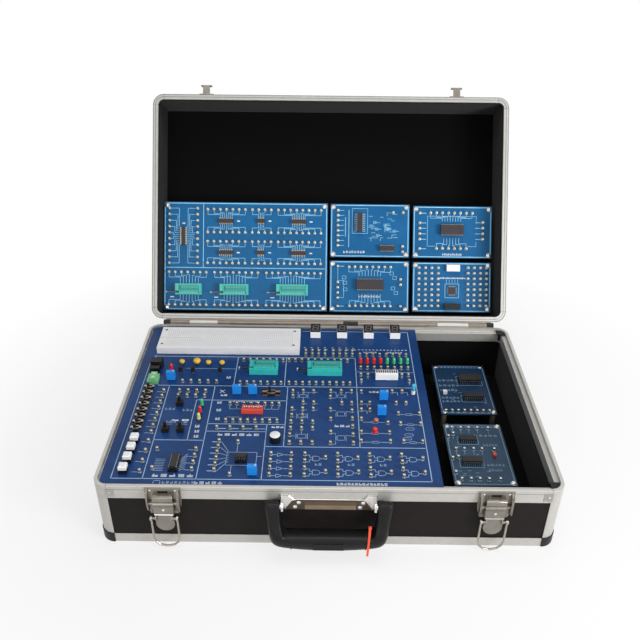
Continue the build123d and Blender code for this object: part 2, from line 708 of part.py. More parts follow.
# ---------------------------------------------------------------- switches and buttons
SLIDES = column(-204.3, 10.7, -60.4, 8)
WHITE_BUTTONS = [(-201.7, -78.4), (-202.0, -92.5), (-202.5, -107.1), (-203.5, -122.4)]
BLACK_BUTTONS = [(-165.3, -17.0), (-173.3, -60.7), (-157.5, -60.5)]
MODE_SWITCH = (-64.8, 2.4)
SLIDE_TRAVEL = 2.6
MODE_TRAVEL = 4.0
KNOB = 2.6
with BuildPart() as switch_bodies:
    add(blocks(MAIN_FACE, SLIDES, 11.4, 5.6, 4.6))
    with BuildSketch(MAIN_FACE.offset(4.6)):
        with Locations(*SLIDES):
            Rectangle(KNOB + SLIDE_TRAVEL + 0.6, KNOB + 0.6)
    extrude(amount=-3.2, mode=Mode.SUBTRACT)
    add(blocks(MAIN_FACE, [MODE_SWITCH], 20.0, 6.4, 5.0))
    with BuildSketch(MAIN_FACE.offset(5.0)):
        with Locations(MODE_SWITCH):
            Rectangle(KNOB + MODE_TRAVEL + 0.6, KNOB + 0.6)
    extrude(amount=-3.2, mode=Mode.SUBTRACT)
    add(blocks(MAIN_FACE, WHITE_BUTTONS, 8.6, 8.6, 3.6))
    add(blocks(MAIN_FACE, BLACK_BUTTONS, 7.4, 7.4, 6.0))
    add(blocks(MAIN_FACE, [(-83.7, -28.2)], 23.0, 9.0, 6.0))
write(switch_bodies, "switch_bodies")


def slide_knob(spot, lift, height, travel):
    """Square knob that stands in its body's slot at one end of the travel."""
    x, y = spot
    with BuildPart() as piece:
        add(blocks(MAIN_FACE, [(x - travel / 2, y)], KNOB, KNOB, height, lift=lift))
    return piece


level_switch_knob_1 = slide_knob(SLIDES[0], 1.6, 6.6, SLIDE_TRAVEL)
write(level_switch_knob_1, "level_switch_knob_1")
level_switch_knob_2 = slide_knob(SLIDES[1], 1.6, 6.6, SLIDE_TRAVEL)
write(level_switch_knob_2, "level_switch_knob_2")
level_switch_knob_3 = slide_knob(SLIDES[2], 1.6, 6.6, SLIDE_TRAVEL)
write(level_switch_knob_3, "level_switch_knob_3")
level_switch_knob_4 = slide_knob(SLIDES[3], 1.6, 6.6, SLIDE_TRAVEL)
write(level_switch_knob_4, "level_switch_knob_4")
level_switch_knob_5 = slide_knob(SLIDES[4], 1.6, 6.6, SLIDE_TRAVEL)
write(level_switch_knob_5, "level_switch_knob_5")
level_switch_knob_6 = slide_knob(SLIDES[5], 1.6, 6.6, SLIDE_TRAVEL)
write(level_switch_knob_6, "level_switch_knob_6")
level_switch_knob_7 = slide_knob(SLIDES[6], 1.6, 6.6, SLIDE_TRAVEL)
write(level_switch_knob_7, "level_switch_knob_7")
level_switch_knob_8 = slide_knob(SLIDES[7], 1.6, 6.6, SLIDE_TRAVEL)
write(level_switch_knob_8, "level_switch_knob_8")
mode_switch_knob = slide_knob(MODE_SWITCH, 2.0, 9.0, MODE_TRAVEL)
write(mode_switch_knob, "mode_switch_knob")


def white_cap(spot):
    """Square cap over a small key switch."""
    with BuildPart() as piece:
        add(blocks(MAIN_FACE, [spot], 8.2, 8.2, 5.0, lift=4.6))
        chamfer(piece.faces().sort_by(Axis.Z)[-1].edges(), 1.2)
    return piece


def black_stem(spot):
    """Round stem of a push button."""
    with BuildPart() as piece:
        add(posts(MAIN_FACE, [spot], 1.9, 5.2, lift=6.6))
        add(posts(MAIN_FACE, [spot], 1.9, 0.4, lift=11.8, taper=45))
    return piece


level_button_1 = white_cap(WHITE_BUTTONS[0])
write(level_button_1, "level_button_1")
level_button_2 = white_cap(WHITE_BUTTONS[1])
write(level_button_2, "level_button_2")
level_button_3 = white_cap(WHITE_BUTTONS[2])
write(level_button_3, "level_button_3")
level_button_4 = white_cap(WHITE_BUTTONS[3])
write(level_button_4, "level_button_4")
pulse_button_1 = black_stem(BLACK_BUTTONS[0])
write(pulse_button_1, "pulse_button_1")
pulse_button_2 = black_stem(BLACK_BUTTONS[1])
write(pulse_button_2, "pulse_button_2")
pulse_button_3 = black_stem(BLACK_BUTTONS[2])
write(pulse_button_3, "pulse_button_3")

# ---------------------------------------------------------------- test pins of the main board
GATE_X = (-59.0, -38.2, -24.5, 8.8, 41.3, 73.8)
GATE_OUT_X = (-3.5, 29.2, 61.6, 95.0)
PINS = (
    row(-27.8, -4.5, 4, 87.4)
    + row(-27.8, -4.5, 4, 80.3)
    + row(5.6, 28.9, 4, 87.4)
    + row(5.6, 28.9, 4, 80.3)
    + row(38.2, 94.2, 8, 81.0)
    + row(38.2, 94.2, 8, 54.2)
    + row(-102.1, -54.9, 7, 67.4)
    + row(-102.3, -55.1, 7, 22.5)
    + row(-47.8, 22.5, 10, 68.0)
    + row(-45.9, 24.4, 10, 22.8)
    + row(-168.9, -129.7, 5, 24.0)
    + column(-187.2, 5.5, -64.9, 8)
    + column(-187.3, -79.0, -123.1, 4)
    + row(-169.3, -139.9, 4, 6.0)
    + row(-169.3, -139.9, 4, -3.0)
    + row(-109.6, -55.3, 8, -16.0)
    + row(-111.2, -55.9, 8, -45.0)
    + row(-119.2, -77.4, 4, -56.5)
    + column(-114.0, -77.7, -120.4, 6)
    + column(-136.3, -90.3, -119.4, 4)
    + [(-176.0, -91.0), (-175.6, -118.7), (-94.3, -78.9), (-97.9, -126.4)]
    + [(37.8, 40.3), (37.9, 28.6), (46.0, 39.8), (85.8, 40.2), (93.5, 40.3), (93.6, 28.7)]
    + row(-40.7, -17.2, 3, 7.5)
    + row(-28.6, -16.8, 2, -13.0)
    + row(-40.4, -17.2, 3, -24.0)
    + row(-40.4, -28.8, 2, -35.2)
    + row(-40.9, -17.4, 3, -45.8)
    + row(-40.9, -17.4, 3, -56.4)
    + row(-41.2, -17.4, 3, -79.0)
    + row(2.2, 25.8, 3, 8.3)
    + [(1.8, -2.5), (14.5, -13.4), (-40.4, -1.8), (-41.3, -67.0)]
    + column(25.4, -13.2, -79.0, 6)
    + [(1.8, -24.5), (2.0, -40.7), (1.9, -62.3), (1.4, -79.2)]
    + [(37.0, 8.1), (36.4, -12.4), (35.7, -24.4), (35.1, -39.9), (34.3, -61.6), (33.6, -75.5)]
    + [(45.5, -12.6), (45.2, -24.4), (71.9, 8.8), (83.3, 9.0), (75.0, -12.1), (86.0, -12.0)]
    + [(64.0, -61.6), (64.0, -75.5), (76.0, -30.0), (99.0, -30.0), (77.0, -47.0), (98.5, -47.0), (78.0, -75.5)]
    + [(97.5, -75.5), (63.5, -46.0)]
    + [(x, y) for x in GATE_X for y in (-96, -106, -116, -126)]
    + [(x, y) for x in GATE_OUT_X for y in (-101, -121)]
)
with BuildPart() as test_pins:
    add(blocks(MAIN_FACE, PINS, 2.0, 2.0, 4.5))
write(test_pins, "test_pins")

# ---------------------------------------------------------------- boards in the lid
# left, right, low and high edge of each board, measured from the hinge edge
LID_BOARDS = [
    (-221.0, -2.2, 11.0, 155.5),
    (1.3, 106.9, 84.1, 155.0),
    (111.6, 216.9, 84.2, 153.5),
    (1.1, 107.2, 10.6, 79.5),
    (112.0, 216.9, 11.9, 78.6),
]
with BuildPart() as lid_boards:
    with BuildSketch(LID_SHEET):
        for left, right, low, high in LID_BOARDS:
            with Locations(((left + right) / 2, (low + high) / 2)):
                Rectangle(right - left, high - low)
    extrude(amount=-BOARD_T)
write(lid_boards, "lid_boards")

with BuildPart() as lid_standoffs:
    for left, right, low, high in LID_BOARDS:
        spots = [(x, y) for x in (left + 4, right - 4) for y in (low + 4, high - 4)]
        add(legs(LID_SHEET.offset(-BOARD_T), spots, STANDOFF))
write(lid_standoffs, "lid_standoffs")

LID_CHIPS = [(-138.0, 130.5), (-41.0, 130.5), (-138.0, 88.5), (-41.0, 88.5)]
LID_SMALL_CHIPS = [(-91.3, 131.0), (-91.3, 88.8)]
with BuildPart() as lid_board_parts:
    add(blocks(LID_SHEET, [(-194.6, 110.2)], 6.4, 25.5, 5.0))
    add(blocks(LID_SHEET, LID_CHIPS, 20.0, 6.4, 5.0))
    add(blocks(LID_SHEET, LID_SMALL_CHIPS, 10.0, 6.4, 5.0))
    for x, y, length in LID_ZIFS:
        add(zif_body(LID_SHEET, x, y, length, 14.6, ZIF_HEIGHT))
    add(blocks(LID_SHEET, [(40.2, 130.4)], 9.0, 25.5, 7.0))
    add(blocks(LID_SHEET, [(77.0, 96.2)], 19.5, 8.6, 7.0))
    add(blocks(LID_SHEET, [(163.2, 121.6)], 30.5, 14.5, 8.5))
    add(blocks(LID_SHEET, [(54.8, 47.8)], 36.0, 15.0, 8.5))
    add(blocks(LID_SHEET, [(165.6, 70.9)], 18.0, 9.5, 6.0))
    add(blocks(LID_SHEET, [(164.8, 40.6)], 12.0, 12.0, 2.2))
    add(blocks(LID_SHEET, [(164.8, 19.8)], 21.0, 7.4, 8.5))
write(lid_board_parts, "lid_board_parts")

lid_zif_lever_1 = zif_lever(LID_SHEET, *LID_ZIFS[0], 14.6, ZIF_HEIGHT)
write(lid_zif_lever_1, "lid_zif_lever_1")
lid_zif_lever_2 = zif_lever(LID_SHEET, *LID_ZIFS[1], 14.6, ZIF_HEIGHT)
write(lid_zif_lever_2, "lid_zif_lever_2")
lid_zif_lever_3 = zif_lever(LID_SHEET, *LID_ZIFS[2], 14.6, ZIF_HEIGHT)
write(lid_zif_lever_3, "lid_zif_lever_3")


# ---------------------------------------------------------------- loose modules in the pocket
# chips on each module: offset from its middle, width, depth and height
REAR_CHIPS = [(10, 16, 27, 14.5, 7.0), (9.5, -20, 25, 8.5, 7.0), (-23.7, -9.5, 5, 4.2, 4.0)]
FRONT_CHIPS = [(-8.5, 21, 19, 8.5, 5.0), (-10, -15.5, 22, 9.5, 7.0), (16.8, -4, 3.4, 5.0, 3.6)]


def pocket_module(x, y, chips):
    """A board on four legs that stands loose on the pocket's floor."""
    spots = [(x + i * (MODULE_X / 2 - 4), y + j * (MODULE_Y / 2 - 4)) for i in (-1, 1) for j in (-1, 1)]
    with BuildPart() as piece:
        add(blocks(POCKET_FACE, [(x, y)], MODULE_X, MODULE_Y, BOARD_T, lift=-BOARD_T))
        add(legs(POCKET_FACE.offset(-BOARD_T), spots, STANDOFF))
        for dx, dy, width, depth, height in chips:
            add(blocks(POCKET_FACE, [(x + dx, y + dy)], width, depth, height))
    return piece


pocket_module_rear = pocket_module(167.5, 72.0, REAR_CHIPS)
write(pocket_module_rear, "pocket_module_rear")
pocket_module_front = pocket_module(166.5, -45.0, FRONT_CHIPS)
write(pocket_module_front, "pocket_module_front")
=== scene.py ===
import random
from functools import partial
from math import atan2, cos, hypot, pi, radians, sin

import bmesh
import bpy
from mathutils import Matrix, Vector


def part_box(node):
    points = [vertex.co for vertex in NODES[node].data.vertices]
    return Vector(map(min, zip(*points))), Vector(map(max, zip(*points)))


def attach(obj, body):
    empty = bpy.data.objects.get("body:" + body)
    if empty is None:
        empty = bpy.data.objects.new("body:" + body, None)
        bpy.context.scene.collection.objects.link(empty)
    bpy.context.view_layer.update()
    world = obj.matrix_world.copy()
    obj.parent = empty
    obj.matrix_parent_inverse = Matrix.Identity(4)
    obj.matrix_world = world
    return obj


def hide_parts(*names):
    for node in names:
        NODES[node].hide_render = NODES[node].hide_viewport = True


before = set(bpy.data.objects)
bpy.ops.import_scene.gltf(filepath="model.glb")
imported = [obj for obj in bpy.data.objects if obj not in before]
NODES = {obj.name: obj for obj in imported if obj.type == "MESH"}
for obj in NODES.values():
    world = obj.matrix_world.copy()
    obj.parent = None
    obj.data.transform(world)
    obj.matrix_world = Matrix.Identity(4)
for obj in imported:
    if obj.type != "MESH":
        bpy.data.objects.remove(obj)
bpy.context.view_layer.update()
random.seed(7)

# ---- sizes, in millimetres
MM = 0.001
CASE_X, CASE_Y, BASE_Z, LID_Z = 460, 290, 77, 63.5
CORNER_R = 14
FRONT = -CASE_Y / 2
BOARD_TOP = 75
STANDOFF, BOARD_T = 25, 1.6
LID_ANGLE = 121
AXIS_OUT = 4.5  # hinge axis behind the case
RIM_GAP = 0.1  # lid rim off the plane of the hinge axis
LID_SKIN = 6.5  # cover panel and lining
HINGE_Y = CASE_Y / 2 + AXIS_OUT
LEAN_Y, LEAN_Z = -cos(radians(LID_ANGLE)), sin(radians(LID_ANGLE))
LID_BOARD_DEPTH = LID_Z - LID_SKIN - STANDOFF - BOARD_T
LATCH_X = (-161, 162)
MODULE_X, MODULE_Y = 66.5, 99
SCREW_IN = 4  # screws of a board from its edges
PITCH = 2.54  # contacts
ZIF_H, ZIF_WIDTH, LID_ZIF_WIDTH = 9.6, 18.5, 14.6
LEVER_IN = 3.4  # a socket's lever from its front edge
MODE_SWITCH, BUZZER, TALL_LAMP = (-64.8, 2.4), (-56.1, -74.6), (95.7, 6.5)
SQUARE_CHIP, CONNECTOR = (164.8, 40.6), (164.8, 19.8)
PIN_PROFILE = (
    (1.3, 0.1), (1.3, 1.9), (1.65, 2.15), (1.72, 3.5), (1.5, 4.15), (1.05, 4.42), (0.55, 4.42), (0.45, 3.7), (0, 3.7)
)
RING_PROFILE = ((1.9, 0), (1.9, 0.08), (1.7, 0.16), (0.6, 0.2))
HEAD_PROFILE = ((3.1, 0.02), (3.1, 0.25), (2.7, 0.3), (2.7, 1), (2.1, 1.62), (1, 1.75), (0, 1.78))
LED_PROFILE = ((2.15, 2), (2.15, 3), (1.8, 3.1), (1.8, 7.7), (1.6, 8.7), (1.1, 9.4), (0.5, 9.7), (0, 9.76))
# capacitor drop, as shares of its radius and height
DROP = ((0.1, 0), (0.42, 0.08), (0.78, 0.28), (0.98, 0.52), (0.96, 0.74), (0.75, 0.91), (0.38, 0.99), (0, 1))
PRINT_HEIGHT = 0.05
WIDE, THIN, FINE = 0.85, 0.5, 0.6  # printed lines
SMOOTH_ANGLE = 35
SHARP = 0.6  # radians; a steeper edge is bevelled

# ---- places
# A place turns millimetres on some face into metres in the shared frame.
WORLD = Matrix.Scale(MM, 4)
MAIN = WORLD @ Matrix.Translation((0, 0, BOARD_TOP))
LID_HEEL = (
    0,
    HINGE_Y + AXIS_OUT * LEAN_Y + RIM_GAP * LEAN_Z,
    BASE_Z + AXIS_OUT * LEAN_Z - RIM_GAP * LEAN_Y,
)
LID_TURN = Matrix(((1, 0, 0), (0, LEAN_Y, -LEAN_Z), (0, LEAN_Z, LEAN_Y))).to_4x4()
LID_RIM = WORLD @ Matrix.Translation(LID_HEEL) @ LID_TURN
LID_SHEET = LID_RIM @ Matrix.Translation((0, 0, -LID_BOARD_DEPTH))
POCKET = {
    "pocket_module_rear": WORLD @ Matrix.Translation((167.5, 72, 33.1)),
    "pocket_module_front": WORLD @ Matrix.Translation((166.5, -45, 33.1)),
}
UPRIGHT = Matrix.Rotation(pi / 2, 4, "X")
SIDEWAYS = Matrix.Rotation(pi / 2, 4, "Y")
YZ = Matrix(((0, 0, 1, 0), (1, 0, 0, 0), (0, 1, 0, 0), (0, 0, 0, 1)))  # outline in y, z; height along x
FORWARD = (0, -1, 0)


def row(first, last, count, y):
    """Evenly spaced points along x."""
    return [(first + (last - first) * i / (count - 1), y) for i in range(count)]


def column(x, first, last, count):
    """Evenly spaced points along y."""
    return [(x, first + (last - first) * i / (count - 1)) for i in range(count)]


def grid(rows, columns, spots):
    """Points of several rows and columns, and single ones."""
    return [p for spec in rows for p in row(*spec)] + [p for spec in columns for p in column(*spec)] + list(spots)


def arc(x, y, radius, angles, squash=1):
    """Points round x, y at some angles in degrees."""
    return [(x + radius * cos(radians(a)), y + radius * sin(radians(a)) * squash) for a in angles]


# ---- materials
COARSE = 0.06  # scale of the coarse noise over that of the fine one
FINE_SHARE = 0.35  # of the fine noise in the colour
BUMP_DEPTH = 0.0003


def wire(tree, node, sockets):
    """Give a node's inputs their values, or their links where the value is a socket."""
    for key, value in sockets.items():
        if isinstance(value, bpy.types.NodeSocket):
            tree.links.new(value, node.inputs[key])
        else:
            node.inputs[key].default_value = value
    return node


def add(tree, kind, sockets, **settings):
    """New shader node with its settings and inputs."""
    node = tree.nodes.new("ShaderNode" + kind)
    for name, value in settings.items():
        setattr(node, name, value)
    return wire(tree, node, sockets)


def material(name, colour, rough, metal=0, vary=0.1, grain=1500, relief=0.05, specular=0.5, sheen=0):
    """Principled material whose colour, roughness and relief wander with noise of one grain."""
    mat = bpy.data.materials.new(name)
    mat.use_nodes = True
    tree = mat.node_tree
    place = add(tree, "TexCoord", {}).outputs["Object"]
    coarse = add(tree, "TexNoise", {"Vector": place, "Scale": grain * COARSE, "Detail": 5}).outputs["Fac"]
    fine = add(tree, "TexNoise", {"Vector": place, "Scale": grain, "Detail": 3}).outputs["Fac"]
    blend = add(tree, "Mix", {0: FINE_SHARE, 2: coarse, 3: fine}, data_type="FLOAT")
    ramp = add(tree, "ValToRGB", {"Fac": blend.outputs[0]})
    for stop, position, level in zip(ramp.color_ramp.elements, (0.3, 0.7), (1 - vary, 1 + vary)):
        stop.position = position
        stop.color = [min(1, c * level) for c in colour] + [1]
    spread = {"Value": coarse, "To Min": max(0.02, rough * 0.8), "To Max": min(1, rough * 1.2)}
    bump = {"Height": fine, "Strength": relief, "Distance": BUMP_DEPTH}
    surface = {
        "Base Color": ramp.outputs["Color"],
        "Metallic": metal,
        "Roughness": add(tree, "MapRange", spread).outputs["Result"],
        "Specular IOR Level": specular,
        "Sheen Weight": sheen,
        "Normal": add(tree, "Bump", bump).outputs["Normal"],
    }
    wire(tree, tree.nodes["Principled BSDF"], surface)
    return mat


DULL = {"specular": 0.22}  # surfaces that mirror little of the bright room
mask = partial(material, vary=0.25, grain=500, relief=0.12, **DULL)
ink = partial(material, rough=0.6, grain=2000, **DULL)
plastic = partial(material, relief=0.08)
lens = partial(material, rough=0.2, relief=0.02)
ALUMINIUM = material("aluminium", (0.5, 0.485, 0.455), 0.42, 0.55, 0.06, 2600, 0.1, 0.4)
# The lid's aluminium is a darker copy of the base's: painted shade on the lid rim.
LID_METAL_SHADED = material("lid_aluminium_painted_shade", (0.435, 0.425, 0.405), 0.46, 0.5, 0.06, 2600, 0.1, 0.3)
# Darker copy of the aluminium: painted shade in the rims' seams.
SEAM_SHADE = material("seam_shadow", (0.19, 0.185, 0.175), 0.6, 0.3, 0.15, 2600)
PANEL = material("panel_laminate", (0.0085, 0.0065, 0.0056), 0.5, 0, 0.3, 2400, 0.35, 0.13)
CAP_BLACK = material("cap_plastic", (0.0095, 0.0095, 0.0095), 0.45, 0, 0.2, 2500, 0.15, 0.22)
FELT = material("felt", (0.0024, 0.0024, 0.0025), 0.95, 0, 0.3, 3500, 0.6, 0.05, 0.08)
NICKEL = material("nickel_plate", (0.27, 0.25, 0.215), 0.34, 0.95, 0.16, 1800, 0.12)
DARK_NICKEL = material("bracket_plate", (0.105, 0.085, 0.066), 0.36, 0.9, 0.2, 1500, 0.12)
BRONZE = material("bracket_middle", (0.27, 0.2, 0.14), 0.45, 0.6, 0.16, 900, 0.12)
# Darker copy of the bracket's bronze: painted shade on the bracket's upper strip.
BRONZE_PAINTED_SHADE = material("bracket_shaded_plate", (0.13, 0.09, 0.06), 0.45, 0.6, 0.16, 900, 0.12)
# The hinge's brown, darker than plated steel, is painted shade and a painted reflection of the table.
HINGE = material("hinge_plate", (0.25, 0.215, 0.18), 0.42, 0.9, 0.14, 1500, 0.15)
STEEL = material("bright_steel", (0.7, 0.69, 0.67), 0.22, 1, 0.06, 2200)
WIRE = material("bail_wire", (0.42, 0.385, 0.34), 0.26, 1, 0.12, 1600, 0.06)
HANDLE = material("handle_plastic", (0.0068, 0.0068, 0.0072), 0.32, 0, 0.2, 2600, 0.25, 0.2)
MAIN_MASK = mask("main_solder_mask", (0.007, 0.043, 0.16), 0.3, grain=420)
LID_MASK = mask("lid_solder_mask", (0.0055, 0.108, 0.275), 0.34, vary=0.14, grain=420)
POCKET_MASK_PALE = mask("pale_pocket_mask", (0.032, 0.07, 0.125), 0.35)
POCKET_MASK = mask("pocket_solder_mask", (0.008, 0.034, 0.09), 0.35)
SILK = ink("silkscreen", (0.34, 0.47, 0.64), vary=0.08)
LABEL = ink("white_print", (0.72, 0.79, 0.84))
LID_SILK = ink("lid_silkscreen", (0.3, 0.6, 0.8))
POCKET_SILK = ink("pocket_silkscreen", (0.22, 0.36, 0.46))
GOLD = material("gold_pin", (0.5, 0.455, 0.33), 0.34, 0.85, 0.22, 3000)
BRACE = material("brace_plate", (0.42, 0.405, 0.38), 0.34, 0.9, 0.12, 2200)
SOLDER = material("solder_pad", (0.33, 0.4, 0.42), 0.38, 0.7, 0.12, 2600, 0.1)
WHITE = plastic("white_plastic", (0.8, 0.81, 0.81), 0.42, vary=0.03)
BRIGHT_WHITE = plastic("display_body", (0.93, 0.935, 0.935), 0.42, vary=0.03)
CREAM = plastic("breadboard_plastic", (0.77, 0.765, 0.77), 0.5, vary=0.03, grain=1200, **DULL)
HOLE = material("contact_hole", (0.4, 0.38, 0.37), 0.6, 0.2, 0.15, 3000)
SCREW_DARK = material("breadboard_screw", (0.16, 0.15, 0.14), 0.45, 0.8, 0.2, 2400)
SMOKED = material("display_face", (0.02, 0.014, 0.012), 0.3, 0, 0.15, 1500, 0.04, **DULL)
BAR_WINDOW = material("lamp_bar_window", (0.085, 0.03, 0.026), 0.35, 0, 0.2, 2200, 0.03)
GROOVE = material("breadboard_groove", (0.52, 0.51, 0.5), 0.6, 0, 0.06, 2200, **DULL)
LEVER_DARK = material("lever_steel", (0.085, 0.08, 0.078), 0.35, 0.8, 0.15, 2200)
SEGMENT = material("display_segment", (0.19, 0.165, 0.16), 0.35, 0, 0.08, 2200, 0.03)
RED_LENS = lens("red_lens", (0.74, 0.022, 0.012))
GREEN_LENS = lens("green_lens", (0.055, 0.5, 0.16))
YELLOW_LENS = lens("yellow_lens", (0.62, 0.6, 0.2))
TEAL = plastic("teal_plastic", (0.035, 0.47, 0.43), 0.38, vary=0.08)
PLATE_TEAL = plastic("socket_plate", (0.012, 0.27, 0.25), 0.42)
LID_TEAL = plastic("lid_socket_plastic", (0.06, 0.5, 0.42), 0.38, vary=0.08)
MINT = material("contact_slot", (0.14, 0.46, 0.38), 0.5, grain=2600)
BLUE = material("trimmer_plastic", (0.014, 0.25, 0.76), 0.36, relief=0.06)
TRIM_SCREW = material("trimmer_screw", (0.3, 0.5, 0.72), 0.35, 0.3, 0.12, 2000, 0.06)
RED = material("red_plastic", (0.68, 0.07, 0.042), 0.38, 0, 0.06, 1500, 0.06)
YELLOW = plastic("yellow_resin", (0.72, 0.44, 0.025), 0.32)
EPOXY = material("black_epoxy", (0.014, 0.013, 0.013), 0.42, 0, 0.2, 2600, 0.2, 0.35)
LID_EPOXY = material("chip_epoxy", (0.03, 0.024, 0.028), 0.42, 0, 0.2, 2600, 0.2, 0.35)
BLACK = material("black_plastic", (0.0085, 0.0085, 0.0085), 0.38, 0, 0.2, 2000, 0.12, 0.28)
LIGHT_GREEN = plastic("terminal_plastic", (0.17, 0.46, 0.2), 0.42)
TIN = material("tinned_lead", (0.58, 0.58, 0.56), 0.3, 0.95, 0.08, 2600)
SWITCH_METAL = material("switch_shell", (0.4, 0.37, 0.32), 0.34, 0.9, 0.12, 2200, 0.08)
COPPER = material("mode_switch_shell", (0.36, 0.26, 0.19), 0.38, 0.8, 0.12, 2200, 0.08)
CYAN = material("cyan_resin", (0.06, 0.45, 0.66), 0.25, 0, 0.08, 1500, 0.04)
TERRACOTTA = plastic("brown_resin", (0.42, 0.15, 0.075), 0.42)
ORANGE = material("red_tie", (0.8, 0.075, 0.02), 0.4, 0, 0.06, 1500, 0.06)
PAPER = material("floor_paper", (0.8, 0.8, 0.8), 0.8, 0, 0.01, 100, 0)


# ---- shapes
def add_object(name, data):
    """New object in the scene."""
    obj = bpy.data.objects.new(name, data)
    bpy.context.scene.collection.objects.link(obj)
    return obj


class Shape:
    """Collects solids in millimetres on one place; the end of the script makes one piece of each."""

    made = []

    def __init__(self, name, mat, slot, place=WORLD, body="case", replaces=None, angle=SMOOTH_ANGLE, levels=0):
        self.name, self.mat, self.slot, self.place, self.body = name, mat, slot, place, body
        self.replaces, self.angle, self.levels = replaces, angle, levels
        self.bm = bmesh.new()
        Shape.made.append(self)

    def skin(self, rings, matrix=None):
        """Closed skin over rings of points; the last may be a single tip."""
        rings = [[self.bm.verts.new(p) for p in ring] for ring in rings]
        faces = []
        for a, b in zip(rings, rings[1:]):
            for i in range(len(a)):
                j = (i + 1) % len(a)
                faces.append(self.bm.faces.new((a[i], a[j], b[0]) if len(b) == 1 else (a[i], a[j], b[j], b[i])))
        faces.append(self.bm.faces.new(rings[0][::-1]))
        if len(rings[-1]) > 1:
            faces.append(self.bm.faces.new(rings[-1]))
        if matrix is not None:
            bmesh.ops.transform(self.bm, matrix=matrix, verts=[v for ring in rings for v in ring])
        return faces

    def prism(self, points, low, height, bevel=0, segments=1, matrix=None):
        """Upright solid over an outline."""
        faces = self.skin([[(x, y, z) for x, y in points] for z in (low, low + height)], matrix)
        if bevel:
            edges = {e for f in faces for e in f.edges}
            sharp = [e for e in edges if e.calc_face_angle(0) > SHARP]
            bmesh.ops.bevel(
                self.bm, geom=sharp, offset=bevel, segments=segments, profile=0.6, affect="EDGES", clamp_overlap=True
            )

    def box(self, x, y, low, sx, sy, height, bevel=0, segments=1, turn=0):
        """Block centred on x, y that stands on low."""
        c, s = cos(turn), sin(turn)
        corners = ((-sx / 2, -sy / 2), (sx / 2, -sy / 2), (sx / 2, sy / 2), (-sx / 2, sy / 2))
        self.prism([(x + a * c - b * s, y + a * s + b * c) for a, b in corners], low, height, bevel, segments)

    def lathe(self, x, y, profile, sides=20, matrix=None):
        """Turned solid: profile lists radius and height from bottom to top, where the radius may be 0."""
        turns = [2 * pi * i / sides for i in range(sides)]
        rings = [[(x + r * cos(a), y + r * sin(a), z) for a in (turns if r else (0,))] for r, z in profile]
        self.skin(rings, matrix)

    def lathe_x(self, x, y, z, profile, sides=24):
        """Turned solid whose axis starts at a point and runs along x."""
        self.lathe(0, 0, profile, sides, Matrix.Translation((x, y, z)) @ SIDEWAYS)

    def sleeve(self, start, length, end_radius, radius, edge):
        """Turned sleeve round the hinge's axis, from x = start, with chamfered ends."""
        profile = ((end_radius, 0), (radius, edge), (radius, length - edge), (end_radius, length))
        self.lathe_x(start, HINGE_Y, BASE_Z, profile)

    def ring(self, out, low, height, thick):
        """Thin band round a face of the case, its outer side this far out from the case's own."""
        half_x, half_y, bend = CASE_X / 2 + out, CASE_Y / 2 + out, CORNER_R + out
        for x, y, at in ((1, 1, 0), (-1, 1, 90), (-1, -1, 180), (1, -1, 270)):
            middle = (x * (half_x - bend), y * (half_y - bend))
            outer, inner = (arc(*middle, r, range(at, at + 91, 15)) for r in (bend, bend - thick))
            self.prism(outer + inner[::-1], low, height)
        for sign in (-1, 1):
            self.box(0, sign * (half_y - thick / 2), low, 2 * (half_x - bend), thick, height)
            self.box(sign * (half_x - thick / 2), 0, low, thick, 2 * (half_y - bend), height)

    def rivet(self, x, y, z, radius, facing=FORWARD):
        """Domed rivet head on a wall; facing is the direction it looks in."""
        turn = Vector(facing).to_track_quat("Z", "X").to_matrix().to_4x4()
        dome = [(radius * a, radius * b) for a, b in ((1, 0), (0.94, 0.28), (0.6, 0.52), (0, 0.6))]
        self.lathe(0, 0, dome, 16, Matrix.Translation((x, y, z)) @ turn)

    def line(self, points, width=THIN):
        """Printed line: thin strips from point to point."""
        for (x0, y0), (x1, y1) in zip(points, points[1:]):
            length = hypot(x1 - x0, y1 - y0)
            if length:
                middle, turn = ((x0 + x1) / 2, (y0 + y1) / 2), atan2(y1 - y0, x1 - x0)
                self.box(*middle, 0, length + width, width, PRINT_HEIGHT, turn=turn)

    def lines(self, paths, width=THIN):
        """Several printed lines of one width."""
        for points in paths:
            self.line(points, width)

    def dashes(self, spots, x0, y0, x1, y1, width=THIN):
        """The same short line beside each of some points."""
        self.lines([[(x + x0, y + y0), (x + x1, y + y1)] for x, y in spots], width)

    def outline(self, x, y, sx, sy, width=THIN, corner=0):
        """Printed rectangle round x, y, its corners cut when corner is given."""
        a, b, c = sx / 2, sy / 2, corner
        points = [(c - a, -b), (a - c, -b), (a, c - b), (a, b - c), (a - c, b), (c - a, b), (-a, b - c), (-a, c - b)]
        self.line([(x + px, y + py) for px, py in points + points[:1]], width)

    def label(self, first, last, y, count, height, width=0.45):
        """Row of small stroke groups that stands for a line of print."""
        half = (last - first) / (count - 1) * 0.3
        for i, (x, _) in enumerate(row(first, last, count, y)):
            levels = (-0.42, 0, 0.42)[: 2 + i % 2]
            self.dashes([(x, y + level * height) for level in levels], -half, 0, half, 0, width)
            self.dashes([(x + half * (i % 3 - 1) * 0.6, y)], 0, -height / 2, 0, height / 2, width)

    def finish(self):
        """Make the object, smooth it below the angle and let it ride on its body."""
        bmesh.ops.transform(self.bm, matrix=self.place, verts=self.bm.verts)
        bmesh.ops.recalc_face_normals(self.bm, faces=self.bm.faces)
        mesh = bpy.data.meshes.new(self.name)
        self.bm.to_mesh(mesh)
        self.bm.free()
        mesh.materials.append(self.mat)
        mesh.shade_smooth()
        mesh.set_sharp_from_angle(angle=radians(self.angle))
        piece = add_object(self.name, mesh)
        if self.levels:
            smooth = piece.modifiers.new("smooth", "SUBSURF")
            smooth.levels = smooth.render_levels = self.levels
        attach(piece, self.body)
        if self.replaces:
            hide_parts(self.replaces)


main_part = partial(Shape, slot="component_plastic", place=MAIN)
lid_part = partial(Shape, slot="component_plastic", place=LID_SHEET, body="lid")


